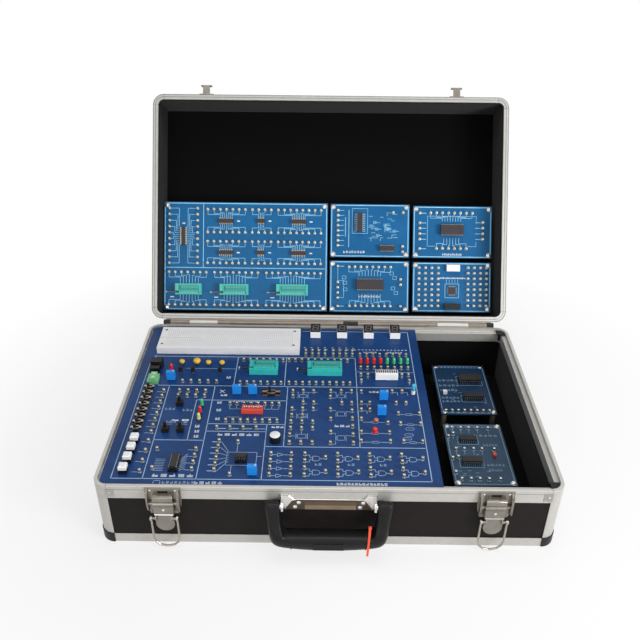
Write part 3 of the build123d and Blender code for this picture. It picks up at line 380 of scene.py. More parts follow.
def dress(node, mat, bevel):
    """Give a CAD node its material and softened edges."""
    obj = NODES[node]
    obj.data.materials.clear()
    obj.data.materials.append(mat)
    if bevel:
        obj.modifiers.new("weld", "WELD").merge_threshold = 1e-6
        soft = obj.modifiers.new("rounding", "BEVEL")
        soft.width = bevel * MM
        soft.segments = 2
        soft.limit_method = "ANGLE"
        soft.angle_limit = radians(40)
        obj.modifiers.new("flat_faces", "WEIGHTED_NORMAL").keep_sharp = True


# ---- CAD pieces that stay visible
# material, bevel, nodes and, where a name is numbered, how many
for mat, bevel, nodes, count in (
    (ALUMINIUM, 0.5, "base_rim_frame", 0),
    (LID_METAL_SHADED, 0.5, "lid_rim_frame", 0),
    (ALUMINIUM, 0.35, "base_edge_profiles lid_edge_profiles", 0),
    (PANEL, 0.3, "base_wall_panels base_floor_panel lid_wall_panels lid_top_panel", 0),
    (CAP_BLACK, 0.3, "base_corner_caps lid_corner_caps base_rim_corners", 0),
    (FELT, 0.4, "base_lining lid_lining", 0),
    (BLACK, 0.4, "board_supports", 0),
    (HINGE, 0.2, "hinge_lower_leaf hinge_upper_leaf", 0),
    (BLACK, 0, "hinge_pin", 0),
    (NICKEL, 0.3, "latch_plates latch_lever_left latch_lever_right", 0),
    (STEEL, 0.3, "handle_bracket", 0),
    (NICKEL, 0.2, "latch_keepers", 0),
    (WIRE, 0.35, "latch_bail_left latch_bail_right", 0),
    (MAIN_MASK, 0.15, "main_board", 0),
    (LID_MASK, 0.15, "lid_boards", 0),
    (GOLD, 0.1, "lid_standoffs", 0),
    (LEVER_DARK, 0.15, "zif_lever", 2),
    (LEVER_DARK, 0.15, "lid_zif_lever", 3),
    (BLACK, 0.2, "mode_switch_knob", 0),
    (BLACK, 0.2, "level_switch_knob", 8),
    (WHITE, 0.3, "level_button", 4),
    (BLACK, 0.15, "pulse_button", 3),
):
    for node in nodes.split():
        for name in [f"{node}_{i}" for i in range(1, count + 1)] or [node]:
            dress(name, mat, bevel)

# ---- case
# Corner brackets on the rims, each with a rivet.
BRACE_LOW, BRACE_W, BRACE_T, BRACE_H = 63.4, 8.4, 0.6, 9.4
braces = Shape("rim_corner_brackets", BRACE, "bright_steel")
for sx in (-1, 1):
    braces.box(sx * 212.8, FRONT - 0.3, BRACE_LOW, BRACE_W, BRACE_T, BRACE_H, 0.2)
    braces.rivet(sx * 212.8, FRONT - 0.6, 68.1, 2.1)
    for y in (-128, 128):
        braces.box(sx * 229.8, y, BRACE_LOW, BRACE_T, BRACE_W, BRACE_H, 0.2)
        braces.rivet(sx * 229.9, y, 68.1, 1.5, (sx, 0, 0))

# Lighter sleeves and a dark mark on the hinge, and black plugs at its ends.
sleeves = Shape("hinge_sleeves", ALUMINIUM, "plated_steel")
mark = Shape("hinge_dark_mark", BLACK, "plated_steel")
for shape, start, length in ((sleeves, -180, 36), (sleeves, 141, 40), (mark, 19, 19)):
    shape.sleeve(start, length, 3.3, 3.45, 0.2)
PLUG = 9
hinge_low, hinge_high = (corner[0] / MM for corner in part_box("hinge_pin"))
plugs = Shape("hinge_plugs", BLACK, "black_plastic")
for start in (hinge_low + 0.2, hinge_high - PLUG - 0.2):
    plugs.sleeve(start, PLUG, 3.2, 3.5, 0.3)

# Dark lines along the rims: painted shade in the rims' seams.
seam = Shape("rim_seam_shade", SEAM_SHADE, "aluminium_profile")
seam.ring(0.04, 72.4, 0.5, 0.5)
seam.ring(-3.4, BASE_Z - 0.02, 0.05, 0.4)
seam = Shape("lid_rim_seam_shade", SEAM_SHADE, "aluminium_profile", LID_RIM @ Matrix.Translation((0, CASE_Y / 2, 0)), "lid")
seam.ring(-3.2, -0.02, 0.05, 0.75)
seam.ring(-0.1, -0.3, 0.32, 0.9)
seam.ring(0.04, -6, 0.5, 0.5)

# Latches: dark slot, smooth cover, knuckle round the pivot, rivets and rolled edge.
COVER = [(-149.6, 62.4), (-151.5, 62.4), (-151.5, 66.6), (-151, 67.9), (-149.6, 68.5)]
slots = Shape("latch_slots", BLACK, "plated_steel")
covers = Shape("latch_covers", NICKEL, "plated_steel")
dots = Shape("latch_plate_rivets", STEEL, "bright_steel")
for side, x in zip(("left", "right"), LATCH_X):
    slots.box(x, FRONT - 0.3, 69.4, 9.8, 0.5, 3)
    covers.prism(COVER, x - 9.9, 19.8, 0.2, 1, YZ)
    covers.box(x + 15.9, -148.9, 50, 1, 5.4, 22.5, 0.45, 2)
    for sx in (-1, 1):
        dots.rivet(x + sx * 12.4, FRONT - 1.2, 73, 1.3)
    lever = "latch_lever_" + side
    knuckle = Shape(lever + "_knuckle", NICKEL, "plated_steel", WORLD, lever)
    knuckle.prism(arc(-148.6, 58, 3.2, range(85, 276, 19)), x - 10, 20, 0.1, 1, YZ)
    knuckle.box(x, -151.15, 54.3, 20, 1.4, 2.4)
    trim = Shape(lever + "_rivet", STEEL, "bright_steel", WORLD, lever)
    trim.rivet(x, -151.85, 52.6, 1.5)
    trim.lathe_x(x - 9.2, -151.5, 45.9, ((0.75, 0), (0.75, 18.4)), 10)

# Handle bracket: dark plate with a bronze strip and, above it, a darker copy of the bronze as painted shade, bright
# ears and two rivets at each end.
DARK_PLATE = [(-41, 50.3), (41, 50.3), (43, 52.5), (34.5, 63.2), (-34.5, 63.2), (-43, 52.5)]
EAR = [(46.6, 51), (46.6, 68.5), (38.5, 68.5), (33, 63.4), (36, 62), (42, 52.5)]
middle = Shape("bracket_dark_plate", DARK_NICKEL, "plated_steel")
middle.prism(DARK_PLATE, 1.15 - FRONT, 0.35, 0.1, 1, UPRIGHT)
for name, mat, low, height in (("bracket_middle", BRONZE, 50.8, 5.6), ("bracket_shade", BRONZE_PAINTED_SHADE, 56.4, 5.2)):
    Shape(name, mat, "plated_steel").box(1.7, FRONT - 1.6, low, 50, 0.4, height, 0.15)
ears = Shape("bracket_ears", STEEL, "bright_steel")
for sx in (-1, 1):
    ears.prism([(sx * px, pz) for px, pz in EAR][::sx], 1.25 - FRONT, 0.8, 0.2, 1, UPRIGHT)
for px, pz in ((-29.4, 59.6), (-33, 53.8), (33.6, 59.8), (30.6, 53.8)):
    ears.rivet(px, FRONT - 1.5, pz, 2.5)

# Handle: sections from the top of the left arm to the middle of the grip, then mirrored.
# Each names its outer and inner point (x, z) and its front and back (y).
GRIP_FRONT, GRIP_BACK, GRIP_TOP = -168.6, -151, 31.5
ARM = [
    ((-61.4, 66), (-48.2, 66), -155.4, -150.6),
    ((-62.3, 65), (-47.2, 65), -157, -148.8),
    ((-62.5, 60), (-47, 60), -158.8, -147.4),
    ((-61, 50), (-47, 50), -160.6, -147.4),
    ((-59.6, 41), (-45.8, 42), -164.2, -148.6),
    ((-58.5, 33), (-44.8, 36), -167.8, -150.2),
    ((-57.8, 25.5), (-43.4, 33), GRIP_FRONT, -150.6),
    ((-55, 19.6), (-41.6, 31.8), GRIP_FRONT, -150.8),
    ((-49.5, 16.2), (-38.6, GRIP_TOP), GRIP_FRONT, GRIP_BACK),
    ((-40, 14.4), (-34, GRIP_TOP), GRIP_FRONT, GRIP_BACK),
    ((-24, 12.2), (-22, GRIP_TOP), GRIP_FRONT, GRIP_BACK),
    ((0, 11), (0, GRIP_TOP), GRIP_FRONT, GRIP_BACK),
]
ARM += [((-ox, oz), (-ix, iz), front, back) for (ox, oz), (ix, iz), front, back in reversed(ARM[:-1])]
# outline of a section: share of the way from outer to inner, and from front to back
ROUND = (
    (0, 0.62), (0, 0.34), (0.1, 0.14), (0.34, 0), (0.72, 0), (0.93, 0.05), (1, 0.2), (1, 0.82),
    (0.93, 0.96), (0.72, 1), (0.3, 1), (0.07, 0.88),
)


def section(outer, inner, front, back, grow=0):
    """Ring of points round one section of the handle."""
    ring = []
    for shares in ROUND:
        u, t = (0.5 + (share - 0.5) * (1 + grow) for share in shares)
        x, z = (a + (b - a) * u for a, b in zip(outer, inner))
        ring.append((x, front + (back - front) * t, z))
    return ring


handle_part = partial(Shape, slot="black_plastic", body="carry_handle")
grip = handle_part("carry_handle_grip", HANDLE, replaces="carry_handle", angle=60, levels=2)
grip.skin([section(*station) for station in ARM])
seams = handle_part("grip_seams", HANDLE)
for x in (-36.5, 36.5):
    ends = [((x + dx, 14), (x + dx, GRIP_TOP)) for dx in (-0.6, 0.6)]
    seams.skin([section(*end, GRIP_FRONT, GRIP_BACK, 0.03) for end in ends])
seams.box(0, GRIP_FRONT, 17.5, 30, 0.7, 8.5, 0.35, 2)
tie = handle_part("cable_tie", ORANGE)
TIE_WIDTH, TIE_THICK = 2.2, 0.8
TIE = [
    (38.4, -169.3, 10.6), (38.7, -169.35, 20), (39.1, -169.3, 29.6), (39.5, -167.6, 34.4), (39.9, -164.4, 38.6),
    (40.1, -161.6, 42.6),
]
strap = []
for before, point, after in zip(TIE[:1] + TIE, TIE, TIE[1:] + TIE[-1:]):
    across = Vector((TIE_WIDTH / 2, 0, 0))
    out = (Vector(after) - Vector(before)).cross(across).normalized() * TIE_THICK / 2
    strap.append([Vector(point) + step for step in (across + out, out - across, -across - out, across - out)])
tie.skin(strap)
tie.box(40.2, -162.2, 41, 3, 2, 2.6, 0.4)

# ---- test pins
# Rows are first x, last x, count, y; columns are x, first y, last y, count.
GATE_IN_Y, GATE_Y = (-96, -106, -116, -126), (-101, -121)
GATE_X = (-59, -38.2, -24.5, 8.8, 41.3, 73.8)
GATE_OUT_X = (-3.5, 29.2, 61.6, 95)
ZIF_ROWS = ((-102.3, -55.1, 7, 22.5), (-45.9, 24.4, 10, 22.8))
BANK_ROWS = ((-109.6, -55.3, 8, -16), (-111.2, -55.9, 8, -45))
BUS_ROW = (-119.2, -77.4, 4, -56.5)
LEVEL_COLUMNS = ((-187.2, 5.5, -64.9, 8), (-187.3, -79, -123.1, 4))
TIMER_COLUMN = (-114, -77.7, -120.4, 6)
COUNTER_COLUMN = (-136.3, -90.3, -119.4, 4)
ANALOG_PINS = grid(
    (
        (-40.7, -17.2, 3, 7.5), (-28.6, -16.8, 2, -13), (-40.4, -17.2, 3, -24), (-40.4, -28.8, 2, -35.2),
        (-40.9, -17.4, 3, -45.8), (-40.9, -17.4, 3, -56.4), (-41.2, -17.4, 3, -79), (2.2, 25.8, 3, 8.3),
    ),
    ((25.4, -13.2, -79, 6),),
    (
        (1.8, -2.5), (14.5, -13.4), (-40.4, -1.8), (-41.3, -67), (1.8, -24.5), (2, -40.7), (1.9, -62.3),
        (1.4, -79.2), (37, 8.1), (36.4, -12.4), (35.7, -24.4), (35.1, -39.9), (34.3, -61.6), (33.6, -75.5),
        (45.5, -12.6), (45.2, -24.4), (71.9, 8.8), (83.3, 9), (75, -12.1), (86, -12), (64, -61.6),
        (64, -75.5), (76, -30), (99, -30), (77, -47), (98.5, -47), (78, -75.5), (97.5, -75.5),
        (63.5, -46),
    ),
)
MAIN_PINS = grid(
    (
        (-27.8, -4.5, 4, 87.4), (-27.8, -4.5, 4, 80.3), (5.6, 28.9, 4, 87.4), (5.6, 28.9, 4, 80.3),
        (38.2, 94.2, 8, 81), (38.2, 94.2, 8, 54.2), (-102.1, -54.9, 7, 67.4), (-47.8, 22.5, 10, 68), *ZIF_ROWS,
        (-168.9, -129.7, 5, 24), (-169.3, -139.9, 4, 6), (-169.3, -139.9, 4, -3), *BANK_ROWS, BUS_ROW,
    ),
    (*LEVEL_COLUMNS, TIMER_COLUMN, COUNTER_COLUMN),
    (
        (-176, -91), (-175.6, -118.7), (-94.3, -78.9), (-97.9, -126.4), (37.8, 40.3), (37.9, 28.6),
        (46, 39.8), (85.8, 40.2), (93.5, 40.3), (93.6, 28.7), *ANALOG_PINS,
        *[(x, y) for x in GATE_X for y in GATE_IN_Y], *[(x, y) for x in GATE_OUT_X for y in GATE_Y],
    ),
)
# Lid boards: left, right, low, high.
LID_BOARDS = (
    (-221, -2.2, 11, 155.5), (1.3, 106.9, 84.1, 155), (111.6, 216.9, 84.2, 153.5), (1.1, 107.2, 10.6, 79.5),
    (112, 216.9, 11.9, 78.6),
)
# A row of pins, then the x, y and length of the chip or socket it leads to, the side it does so on, and
# how far the legs stand from that middle line.
CHIP_FANS = ((-162.5, -112.5, 7, -138, 18), (-103, -78, 4, -91.3, 9), (-68.5, -11.3, 8, -41, 19))
CHIP_LEVELS = ((145.8, 130.5, -1), (115.4, 130.5, 1), (103.2, 88.6, -1), (74.4, 88.6, 1))
ZIF_FANS = ((-214, -164.1, 7, -186.8, 28), (-152.9, -95, 8, -126, 32), (-83.9, -11.5, 10, -48.8, 36))
ZIF_LEVELS = ((61.8, 43, -1), (18.2, 36, 1))
LID_FANS = [
    ((first, last, count, y), chip_x, chip_y, length, toward, 4.2)
    for fans, levels in ((CHIP_FANS, CHIP_LEVELS), (ZIF_FANS, ZIF_LEVELS))
    for first, last, count, chip_x, length in fans
    for y, chip_y, toward in levels
] + [
    ((134.8, 190.3, 8, 144.3), 163, 128.5, 28, -1, 5),
    ((143.2, 182.8, 6, 97), 163, 114.5, 24, 1, 4),
    ((26.7, 82.4, 8, 71.3), 54.8, 55.5, 33, -1, 4),
    ((27.8, 82.4, 8, 19), 54.8, 40, 33, 1, 5),
]
SIDE_PINS = [(120.6, y) for y in (143.8, 130.9, 123.7, 116.4, 109.2, 96.5)]
INNER_COLUMN = (204.4, 131.9, 109.7, 4)
OUTER_COLUMN = (11.4, 146.4, 99.7, 8)
LEFT_COLUMNS = ((-213.6, 147, 73.9, 10), (-176, 147, 73.9, 10))
LID_PINS = grid(
    [fan_row for fan_row, *_ in LID_FANS],
    (
        *LEFT_COLUMNS, OUTER_COLUMN, INNER_COLUMN, *[(x, 71, 20.3, 8) for x in (120.4, 129, 137.5, 146.1)],
        *[(x, 71.6, 20.8, 8) for x in (185.8, 194.1, 202.4, 210.6)],
    ),
    (
        (85, 144), (98, 144), (98, 99), (98, 92), *SIDE_PINS,
        *[(12, y) for y in (72, 50.8, 43.7, 36.7, 29.7, 18.5)], (95.9, 55.1), (95.9, 48), (95.9, 19),
    ),
)


def pins(name, spots, place, body, metal=GOLD, replaces=None):
    """Turned contact pins with a solder ring each."""
    rings = Shape(name + "_rings", SOLDER, "gold_pin", place, body)
    turned = Shape(name, metal, "gold_pin", place, body, replaces)
    for x, y in spots:
        rings.lathe(x, y, RING_PROFILE, 12)
        turned.lathe(x, y, PIN_PROFILE, 12)


pins("main_test_pins", MAIN_PINS, MAIN, "case", replaces="test_pins")
pins("lid_test_pins", LID_PINS, LID_SHEET, "lid")


# ---- print of the main board
def symbol(shape, cx, cy, sx, sy, spots):
    """Printed box with leads to the pins around it and a bar at each side."""
    shape.outline(cx, cy, sx, sy)
    for x, y in spots:
        dx, dy = x - cx, y - cy
        if hypot(dx, dy) > 15:
            continue
        if abs(dx) > sx / 2 + 1.5:
            way = 1 if dx > 0 else -1
            level = cy + max(0.6 - sy / 2, min(sy / 2 - 0.6, dy * 0.3))
            knee = cx + way * (sx / 2 + 1.6)
            shape.line([(x - way * 2, y), (knee, y), (knee, level), (cx + way * sx / 2, level)])
        else:
            way = 1 if dy > 0 else -1
            shape.line([(x, y - way * 2), (x, cy + way * sy / 2)])
    shape.dashes([(cx - sx / 2 - 1.5, cy), (cx + sx / 2 + 1.5, cy)], 0, -sy / 2 - 1.2, 0, sy / 2 + 1.2)


def gate(shape, x, y, out_x):
    """Logic gate between two input pins, 10 mm apart, and its output pin."""
    bow = arc(x + 12, y, 3.4, range(90, -91, -30))
    shape.line([(x + 8, y + 3.4)] + bow + [(x + 8, y - 3.4), (x + 8, y + 3.4)], 0.7)
    for a, b in ((y - 5, y - 1.7), (y + 5, y + 1.7)):
        shape.line([(x + 2, a), (x + 5, a), (x + 5, b), (x + 8, b)], 0.6)
    shape.line([(x + 15.4, y), (out_x - 2, y)], 0.6)


silk = Shape("main_board_print", SILK, "main_circuit_board", MAIN)
silk.lines(
    (
        ((-209, 77), (-214, 60), (-214, -132), (101, -132), (101, 134), (-33, 134)),
        ((-148, -75.5), (-148, -8.5), (-47, -8.5)), ((-211, 75.5), (32, 75.5)), ((-196, 17.7), (101, 17.7)),
        ((-109.5, 75.5), (-109.5, 17.7)), ((-51, 75.5), (-51, 17.7)), ((32.2, 75.5), (32.2, -84)),
        ((-47, 17.7), (-47, -84)), ((-130.5, 17.7), (-130.5, -132)), ((-183, 17.7), (-183, -132)),
        ((-183, -75.5), (-130.5, -75.5)), ((-130.5, -49), (-47, -49)), ((-130.5, -61), (-66.5, -61)),
        ((-66.5, -49), (-66.5, -132)), ((-66.5, -84), (101, -84)),
    ),
    WIDE,
)
silk.lines((((-170, 51), (-109.5, 51)), ((32.2, 47.5), (101, 47.5))))
for spec in ZIF_ROWS:
    silk.dashes(row(*spec), 0, 1.5, 0, 5)
for spec in LEVEL_COLUMNS:
    silk.dashes(column(*spec), -2.25, 0, -7.5, 0)
for (first, last, count, y), reach in zip(BANK_ROWS, (-7.5, 7.5)):
    silk.dashes(row(first, last, count, y), 0, reach * 0.3, 0, reach)
    silk.lines((((first, y + reach), (-97.5, y + reach)), ((-70, y + reach), (last, y + reach))))
silk.dashes(row(*BUS_ROW), 2.4, 0, 9, 0, 1)
# lamp and button marks, and the leads round the two chips of the lower row
for x, y in ((-155.4, -26.5), (-175, -24.7), (-170, -46)):
    silk.label(x - 4, x + 4, y, 3, 3.4)
for x in (-173.3, -157.5):
    silk.line([(x - 5.5, -50.5), (x + 5.5, -50.5)])
    silk.label(x - 3, x + 3, -47.2, 2, 2.2)
for i in range(8):
    y = -104.5 - i * 2.3
    silk.lines((((-165.5, y), (-175, y)), ((-144, -96.5 - i * 3), (-149.5, y + 0.5))))
silk.dashes(column(*COUNTER_COLUMN), -2.2, 0, -8, 0)
silk.dashes(column(*TIMER_COLUMN), -2.4, 0, -7, 0, 1)
silk.lines([[(x + 2.4, y), (x + 12, -100 + (y + 99) * 0.3)] for x, y in column(*TIMER_COLUMN)])
silk.outline(-88.75, -102.5, 30.5, 19)
silk.lines((((-94.3, -81), (-94.3, -92)), ((-97.9, -124), (-97.9, -113)), ((-73, -99), (-68.5, -99))))

# component symbols of the middle and right-hand sections
for spec in (
    (-29, 0.6, 8, 5), (-29.2, -34.4, 9, 6), (-28.6, -67.4, 9, 6), (13.9, 1, 8, 5), (13.4, -30.2, 8, 7),
    (12.7, -69.5, 8, 7),
):
    symbol(silk, *spec, [(x, y) for x, y in ANALOG_PINS if x < 30])
BOX_HALF = 3.4
for x0, x1, y in (
    (34.3, 64, -61.6), (33.6, 64, -75.5), (76, 99, -30), (77, 98.5, -47), (78, 97.5, -75.5), (35.1, 63.5, -43.5),
):
    x = (x0 + x1) / 2
    silk.lines((((x0 + 2.2, y), (x - BOX_HALF, y)), ((x + BOX_HALF, y), (x1 - 2.2, y))))
    silk.outline(x, y, 2 * BOX_HALF, 2.8)
for x, y in ((86.7, -53.8), (84.7, -63.5), (82.5, -69.5)):
    silk.outline(x, y, 9, 3.6, THIN, 0.8)
for x, y in ((36.4, -12.4), (35.7, -24.4), (71.9, 8.8), (83.3, 9)):
    silk.line([(x + 2.2, y), (x + 6.4, y), (x + 6.4, y - 5)])
silk.dashes(((37.9, 28.6), (46, 39.8), (85.8, 40.2), (93.6, 28.7)), 0, -2, 0, -5)
silk.dashes([(x, y) for x, y in ANALOG_PINS if -45 < x < -15 and y > -40], 2.2, 0, 4.2, 0)

for x, out_x in zip(GATE_X[2:], GATE_OUT_X):
    for y in GATE_Y:
        gate(silk, x, y, out_x)
for y in GATE_IN_Y:
    silk.line([(-56.8, y), (-52.5, y), (-52.5, y + 2.6), (-46.5, y), (-52.5, y - 2.6), (-52.5, y)], 0.55)
    silk.line([(-45.5, y), (-40.2, y)], 0.55)
for x in (-11, 22.2, 54.4):
    silk.label(x - 2, x + 2, -109.5, 2, 3)
silk.outline(-168.05, -137.2, 6.5, 5.6, 0.6, 1)
silk.label(-161.5, -133, -137, 8, 3.2, 0.5)

white = Shape("main_board_labels", LABEL, "main_circuit_board", MAIN)
for x, y in (
    (-116.8, 33.8), (-121.9, -12.7), (-121.1, -25.8), (-120.6, -40.7), (-140.8, -53.3), (-140, -61.5),
    (-139.6, -69.4),
):
    white.label(x - 1.3, x + 1.3, y, 2, 3.4, 0.8)
for first, last, y, count, height in (
    (-114.8, -76.5, -66, 6, 3.2), (-171.3, -136.9, -127.5, 5, 3.6), (-130, -106.2, -137, 5, 3.2),
    (8.7, 55.5, -136.6, 14, 3), (-120.5, -116.5, 0.5, 2, 2.6), (-59.5, -50.1, -53.3, 3, 2.4),
    (8.2, 20.4, -50.3, 3, 3), (-109, -97, -10.6, 5, 1.3), (-91, -78, -10.6, 5, 1.3), (47.5, 55.5, 9.5, 3, 2.4),
    (-166, -155, -43.6, 2, 2.4),
):
    white.label(first, last, y, count, height, 0.75 if height > 2 else 0.4)
for first, last in ((-28.1, -3), (6.5, 31.8)):
    marks = row(first, last, 4, 93.2)
    white.dashes(marks, -0.9, 0, 0.9, 0, 1.1)
    white.dashes(marks, -2.2, 4, -0.8, 4, 0.8)
white.dashes(row(37.5, 95.5, 14, 93.6), -0.7, 0, 0.7, 0, 0.9)
white.label(44, 58, 88.3, 6, 2.4)
white.label(73, 89, 88.3, 6, 2.4)
white.lines((((-123.5, 10), (-118.5, 5.2)), ((-123.5, 5.2), (-118.5, 10))), 0.6)


# ---- print of the lid boards
def fan(shape, spots, chip_x, chip_y, length, toward, leg):
    """Printed leads from a row of pins to a chip's legs; the outer ones bend farther out."""
    n = len(spots)
    for i, (x, y) in enumerate(spots):
        end_x = chip_x + length * ((i + 0.5) / n - 0.5)
        outward = abs(i - (n - 1) / 2) / (n / 2)
        bend = y + toward * (3.2 + 4.2 * outward)
        shape.line([(x, y + toward * 2), (x, bend), (end_x, bend), (end_x, chip_y - toward * leg)], FINE)


BORDER = 1.7
lid_print = Shape("lid_board_print", LID_SILK, "lid_circuit_board", LID_SHEET, "lid")
for left, right, low, high in LID_BOARDS:
    size = (right - left - 2 * BORDER, high - low - 2 * BORDER)
    lid_print.outline((left + right) / 2, (low + high) / 2, *size, 1.1, 4.6)
lid_print.lines((((-168.3, 68), (-168.3, 152)), ((-217.4, 68), (-5.8, 68))), 0.9)
for spec, *chip_spec in LID_FANS:
    fan(lid_print, row(*spec), *chip_spec)
for side, spec in zip((1, -1), LEFT_COLUMNS):
    for i, (x, y) in enumerate(column(*spec)):
        bend = x + side * (4 + 9 * (abs(i - 4.5) / 4.5))
        end_y = 110 + (y - 110) * 0.33
        lid_print.line([(x + side * 2, y), (bend, y), (bend, end_y), (-194.8 - side * 4.2, end_y)], FINE)
# bus line round the upper right chip and pin dashes at its sides
lid_print.lines(
    (
        ((131, 140), (196, 140), (196, 134)), ((131, 140), (131, 100), (141, 100)),
        ((185, 100), (196, 100), (196, 106)), ((12, 69.5), (12, 53), (20, 53), (20, 30), (14.5, 30)),
    )
)
lid_print.dashes(SIDE_PINS, 2.4, 0, 8.4, 0, 0.8)
lid_print.dashes(column(*INNER_COLUMN), -9, 0, -2.4, 0, 0.8)
lid_print.dashes(((12, 72), (12, 18.5)), 2.4, 0, 8, 0, 0.8)
for x, y in ((20.5, 57), (21.5, 50), (22, 41), (90, 37), (86, 43), (88, 57), (84, 63)):
    lid_print.outline(x, y, 4.8, 4)
lid_print.dashes(column(*OUTER_COLUMN), 2, 0, 8, 0, FINE)
lid_print.lines((((21.5, 112), (21.5, 137)), ((26, 98), (26, 147))), 0.8)
lid_print.outline(40.75, 132.5, 20.5, 33)
for i in range(10):
    y = 141.5 - i * 2.5
    lid_print.lines((((33.8, y), (35.4, y)), ((45, y), (47.4, y))), 0.8)
for i in range(30):
    x, y = 51 + random.random() * 40, 108 + random.random() * 36
    lid_print.line([(x, y), (x + 3 + 5 * random.random(), y)], 0.55)
    if i % 3 == 0:
        lid_print.line([(x, y), (x, y - 4)], 0.55)
    if i % 5 == 0:
        lid_print.outline(x + 0.6, y + 0.2, 3.6, 2.8)
lid_print.outline(*SQUARE_CHIP, 18.4, 18.4, 0.6)
lid_print.dashes(row(157.5, 172.5, 5, 51), 0, 0, 0, 4.5)

lid_white = Shape("lid_board_labels", LABEL, "lid_circuit_board", LID_SHEET, "lid")
for spec in ((20, 46, 91.2, 8, 2.6), (152, 176, 89.2, 10, 2.4), (41, 67, 32, 9, 2.6), (150, 182, 57.6, 11, 1.6)):
    lid_white.label(*spec, 0.5)
CHIP_MARKS = (
    (-121.5, 130.5), (-24.5, 130.5), (-121.5, 88.5), (-24.5, 88.5), (-79.5, 131), (-79.5, 88.8), (-194.6, 127),
)
lid_white.dashes(CHIP_MARKS, -1.1, 0, 1.1, 0, 1.6)

# ---- breadboard
BREAD_X, BREAD_Y, BREAD_L, BREAD_W, BREAD_H = -122.5, 104, 174, 46.5, 8.5
bread_part = partial(Shape, slot="white_plastic", place=MAIN)
bread = bread_part("breadboard_body", CREAM, replaces="breadboard")
bread.box(BREAD_X, BREAD_Y, 0, BREAD_L - 1.2, 4, BREAD_H - 1)
holes = bread_part("breadboard_contacts", HOLE)
for side in (-1, 1):
    bread.box(BREAD_X, BREAD_Y + side * (BREAD_W / 4 + 0.25), 0, BREAD_L, BREAD_W / 2 - 0.5, BREAD_H, 0.5, 2)
    for i in range(60):
        for j in range(5):
            x, y = BREAD_X + (i - 29.5) * PITCH, BREAD_Y + side * (3.8 + j * PITCH)
            holes.box(x, y, BREAD_H - 0.4, 0.8, 0.8, 0.43)
groove = bread_part("breadboard_grooves", GROOVE, place=MAIN @ Matrix.Translation((0, 0, BREAD_H - 0.03)))
groove.outline(BREAD_X, BREAD_Y, 155, 33.2, 0.35)
screws = bread_part("breadboard_screws", SCREW_DARK)
for x, y in ((-204.3, 121), (-204.6, 90.2), (-42.6, 121), (-43.2, 89.8)):
    screws.lathe(x, y, [(1.7, BREAD_H - 0.5), (1.7, BREAD_H + 0.02), (1.2, BREAD_H + 0.04), (0, BREAD_H + 0.04)], 16)

# ---- displays and lamps
DIGIT_TOP = 9.88
# segments of a digit: middle and whether it lies across
SEGMENTS = ((0, 6, 1), (0, 0, 1), (0, -6, 1), (-3.2, 3, 0), (3.2, 3, 0), (-3.2, -3, 0), (3.2, -3, 0))
display = partial(Shape, slot="display_plastic", place=MAIN)
digit_body = display("digit_bodies", BRIGHT_WHITE, replaces="digit_displays")
digit_face = display("digit_faces", SMOKED)
digit_mark = display("digit_segments", SEGMENT)
for x, y in row(-16.5, 84, 4, 127.6):
    digit_body.box(x, y, 0.6, 12.6, 19, 8.8, 0.3, 2)
    digit_face.box(x, y, 9.4, 12.4, 18.8, 0.5, 0.2)
    for ax, ay, across in SEGMENTS:
        size = (5, 1.15) if across else (1.15, 4.9)
        digit_mark.box(x + ax + 0.12 * ay, y + ay, DIGIT_TOP, *size, 0.06)
    digit_mark.lathe(x + 4.9, y - 7, [(0.7, DIGIT_TOP), (0.7, DIGIT_TOP + 0.06), (0, DIGIT_TOP + 0.06)], 12)

LED_ROW = row(38.2, 94.2, 8, 63.5)
lamp_part = partial(Shape, slot="lamp_plastic", place=MAIN)
leads = lamp_part("lamp_leads", TIN)
for name, mat, replaced, spots in (
    ("red_lamps", RED_LENS, "indicator_leds", LED_ROW[:4] + [(-140.6, -31), (-185.5, 46.5)]),
    ("green_lamps", GREEN_LENS, None, LED_ROW[4:] + [(-140.3, -18.9)]),
    ("yellow_lamps", YELLOW_LENS, None, [(-140.3, -42.8)]),
):
    lamps = lamp_part(name, mat, replaces=replaced)
    for x, y in spots:
        lamps.lathe(x, y, LED_PROFILE, 18)
        for side in (-1, 1):
            leads.box(x, y + side * PITCH / 2, 0, 0.5, 0.5, 2.2)
low_lamp = lamp_part("low_red_lamp", RED_LENS)
low_lamp.lathe(48.8, -59.5, [(2.9, 0.2), (2.9, 1.2), (2.5, 1.3), (2.5, 4.4), (2.1, 5.7), (1.2, 6.5), (0, 6.7)])
BAR_X = 67.6
lamp_part("lamp_bar_body", BRIGHT_WHITE).box(BAR_X, 36, 0.8, 26, 9.6, 7.8, 0.25)
bar_face = lamp_part("lamp_bar_face", BAR_WINDOW)
for i in range(10):
    bar_face.box(BAR_X + (i - 4.5) * PITCH, 37.6, 8.55, 1.9, 5, 0.12, 0.05)


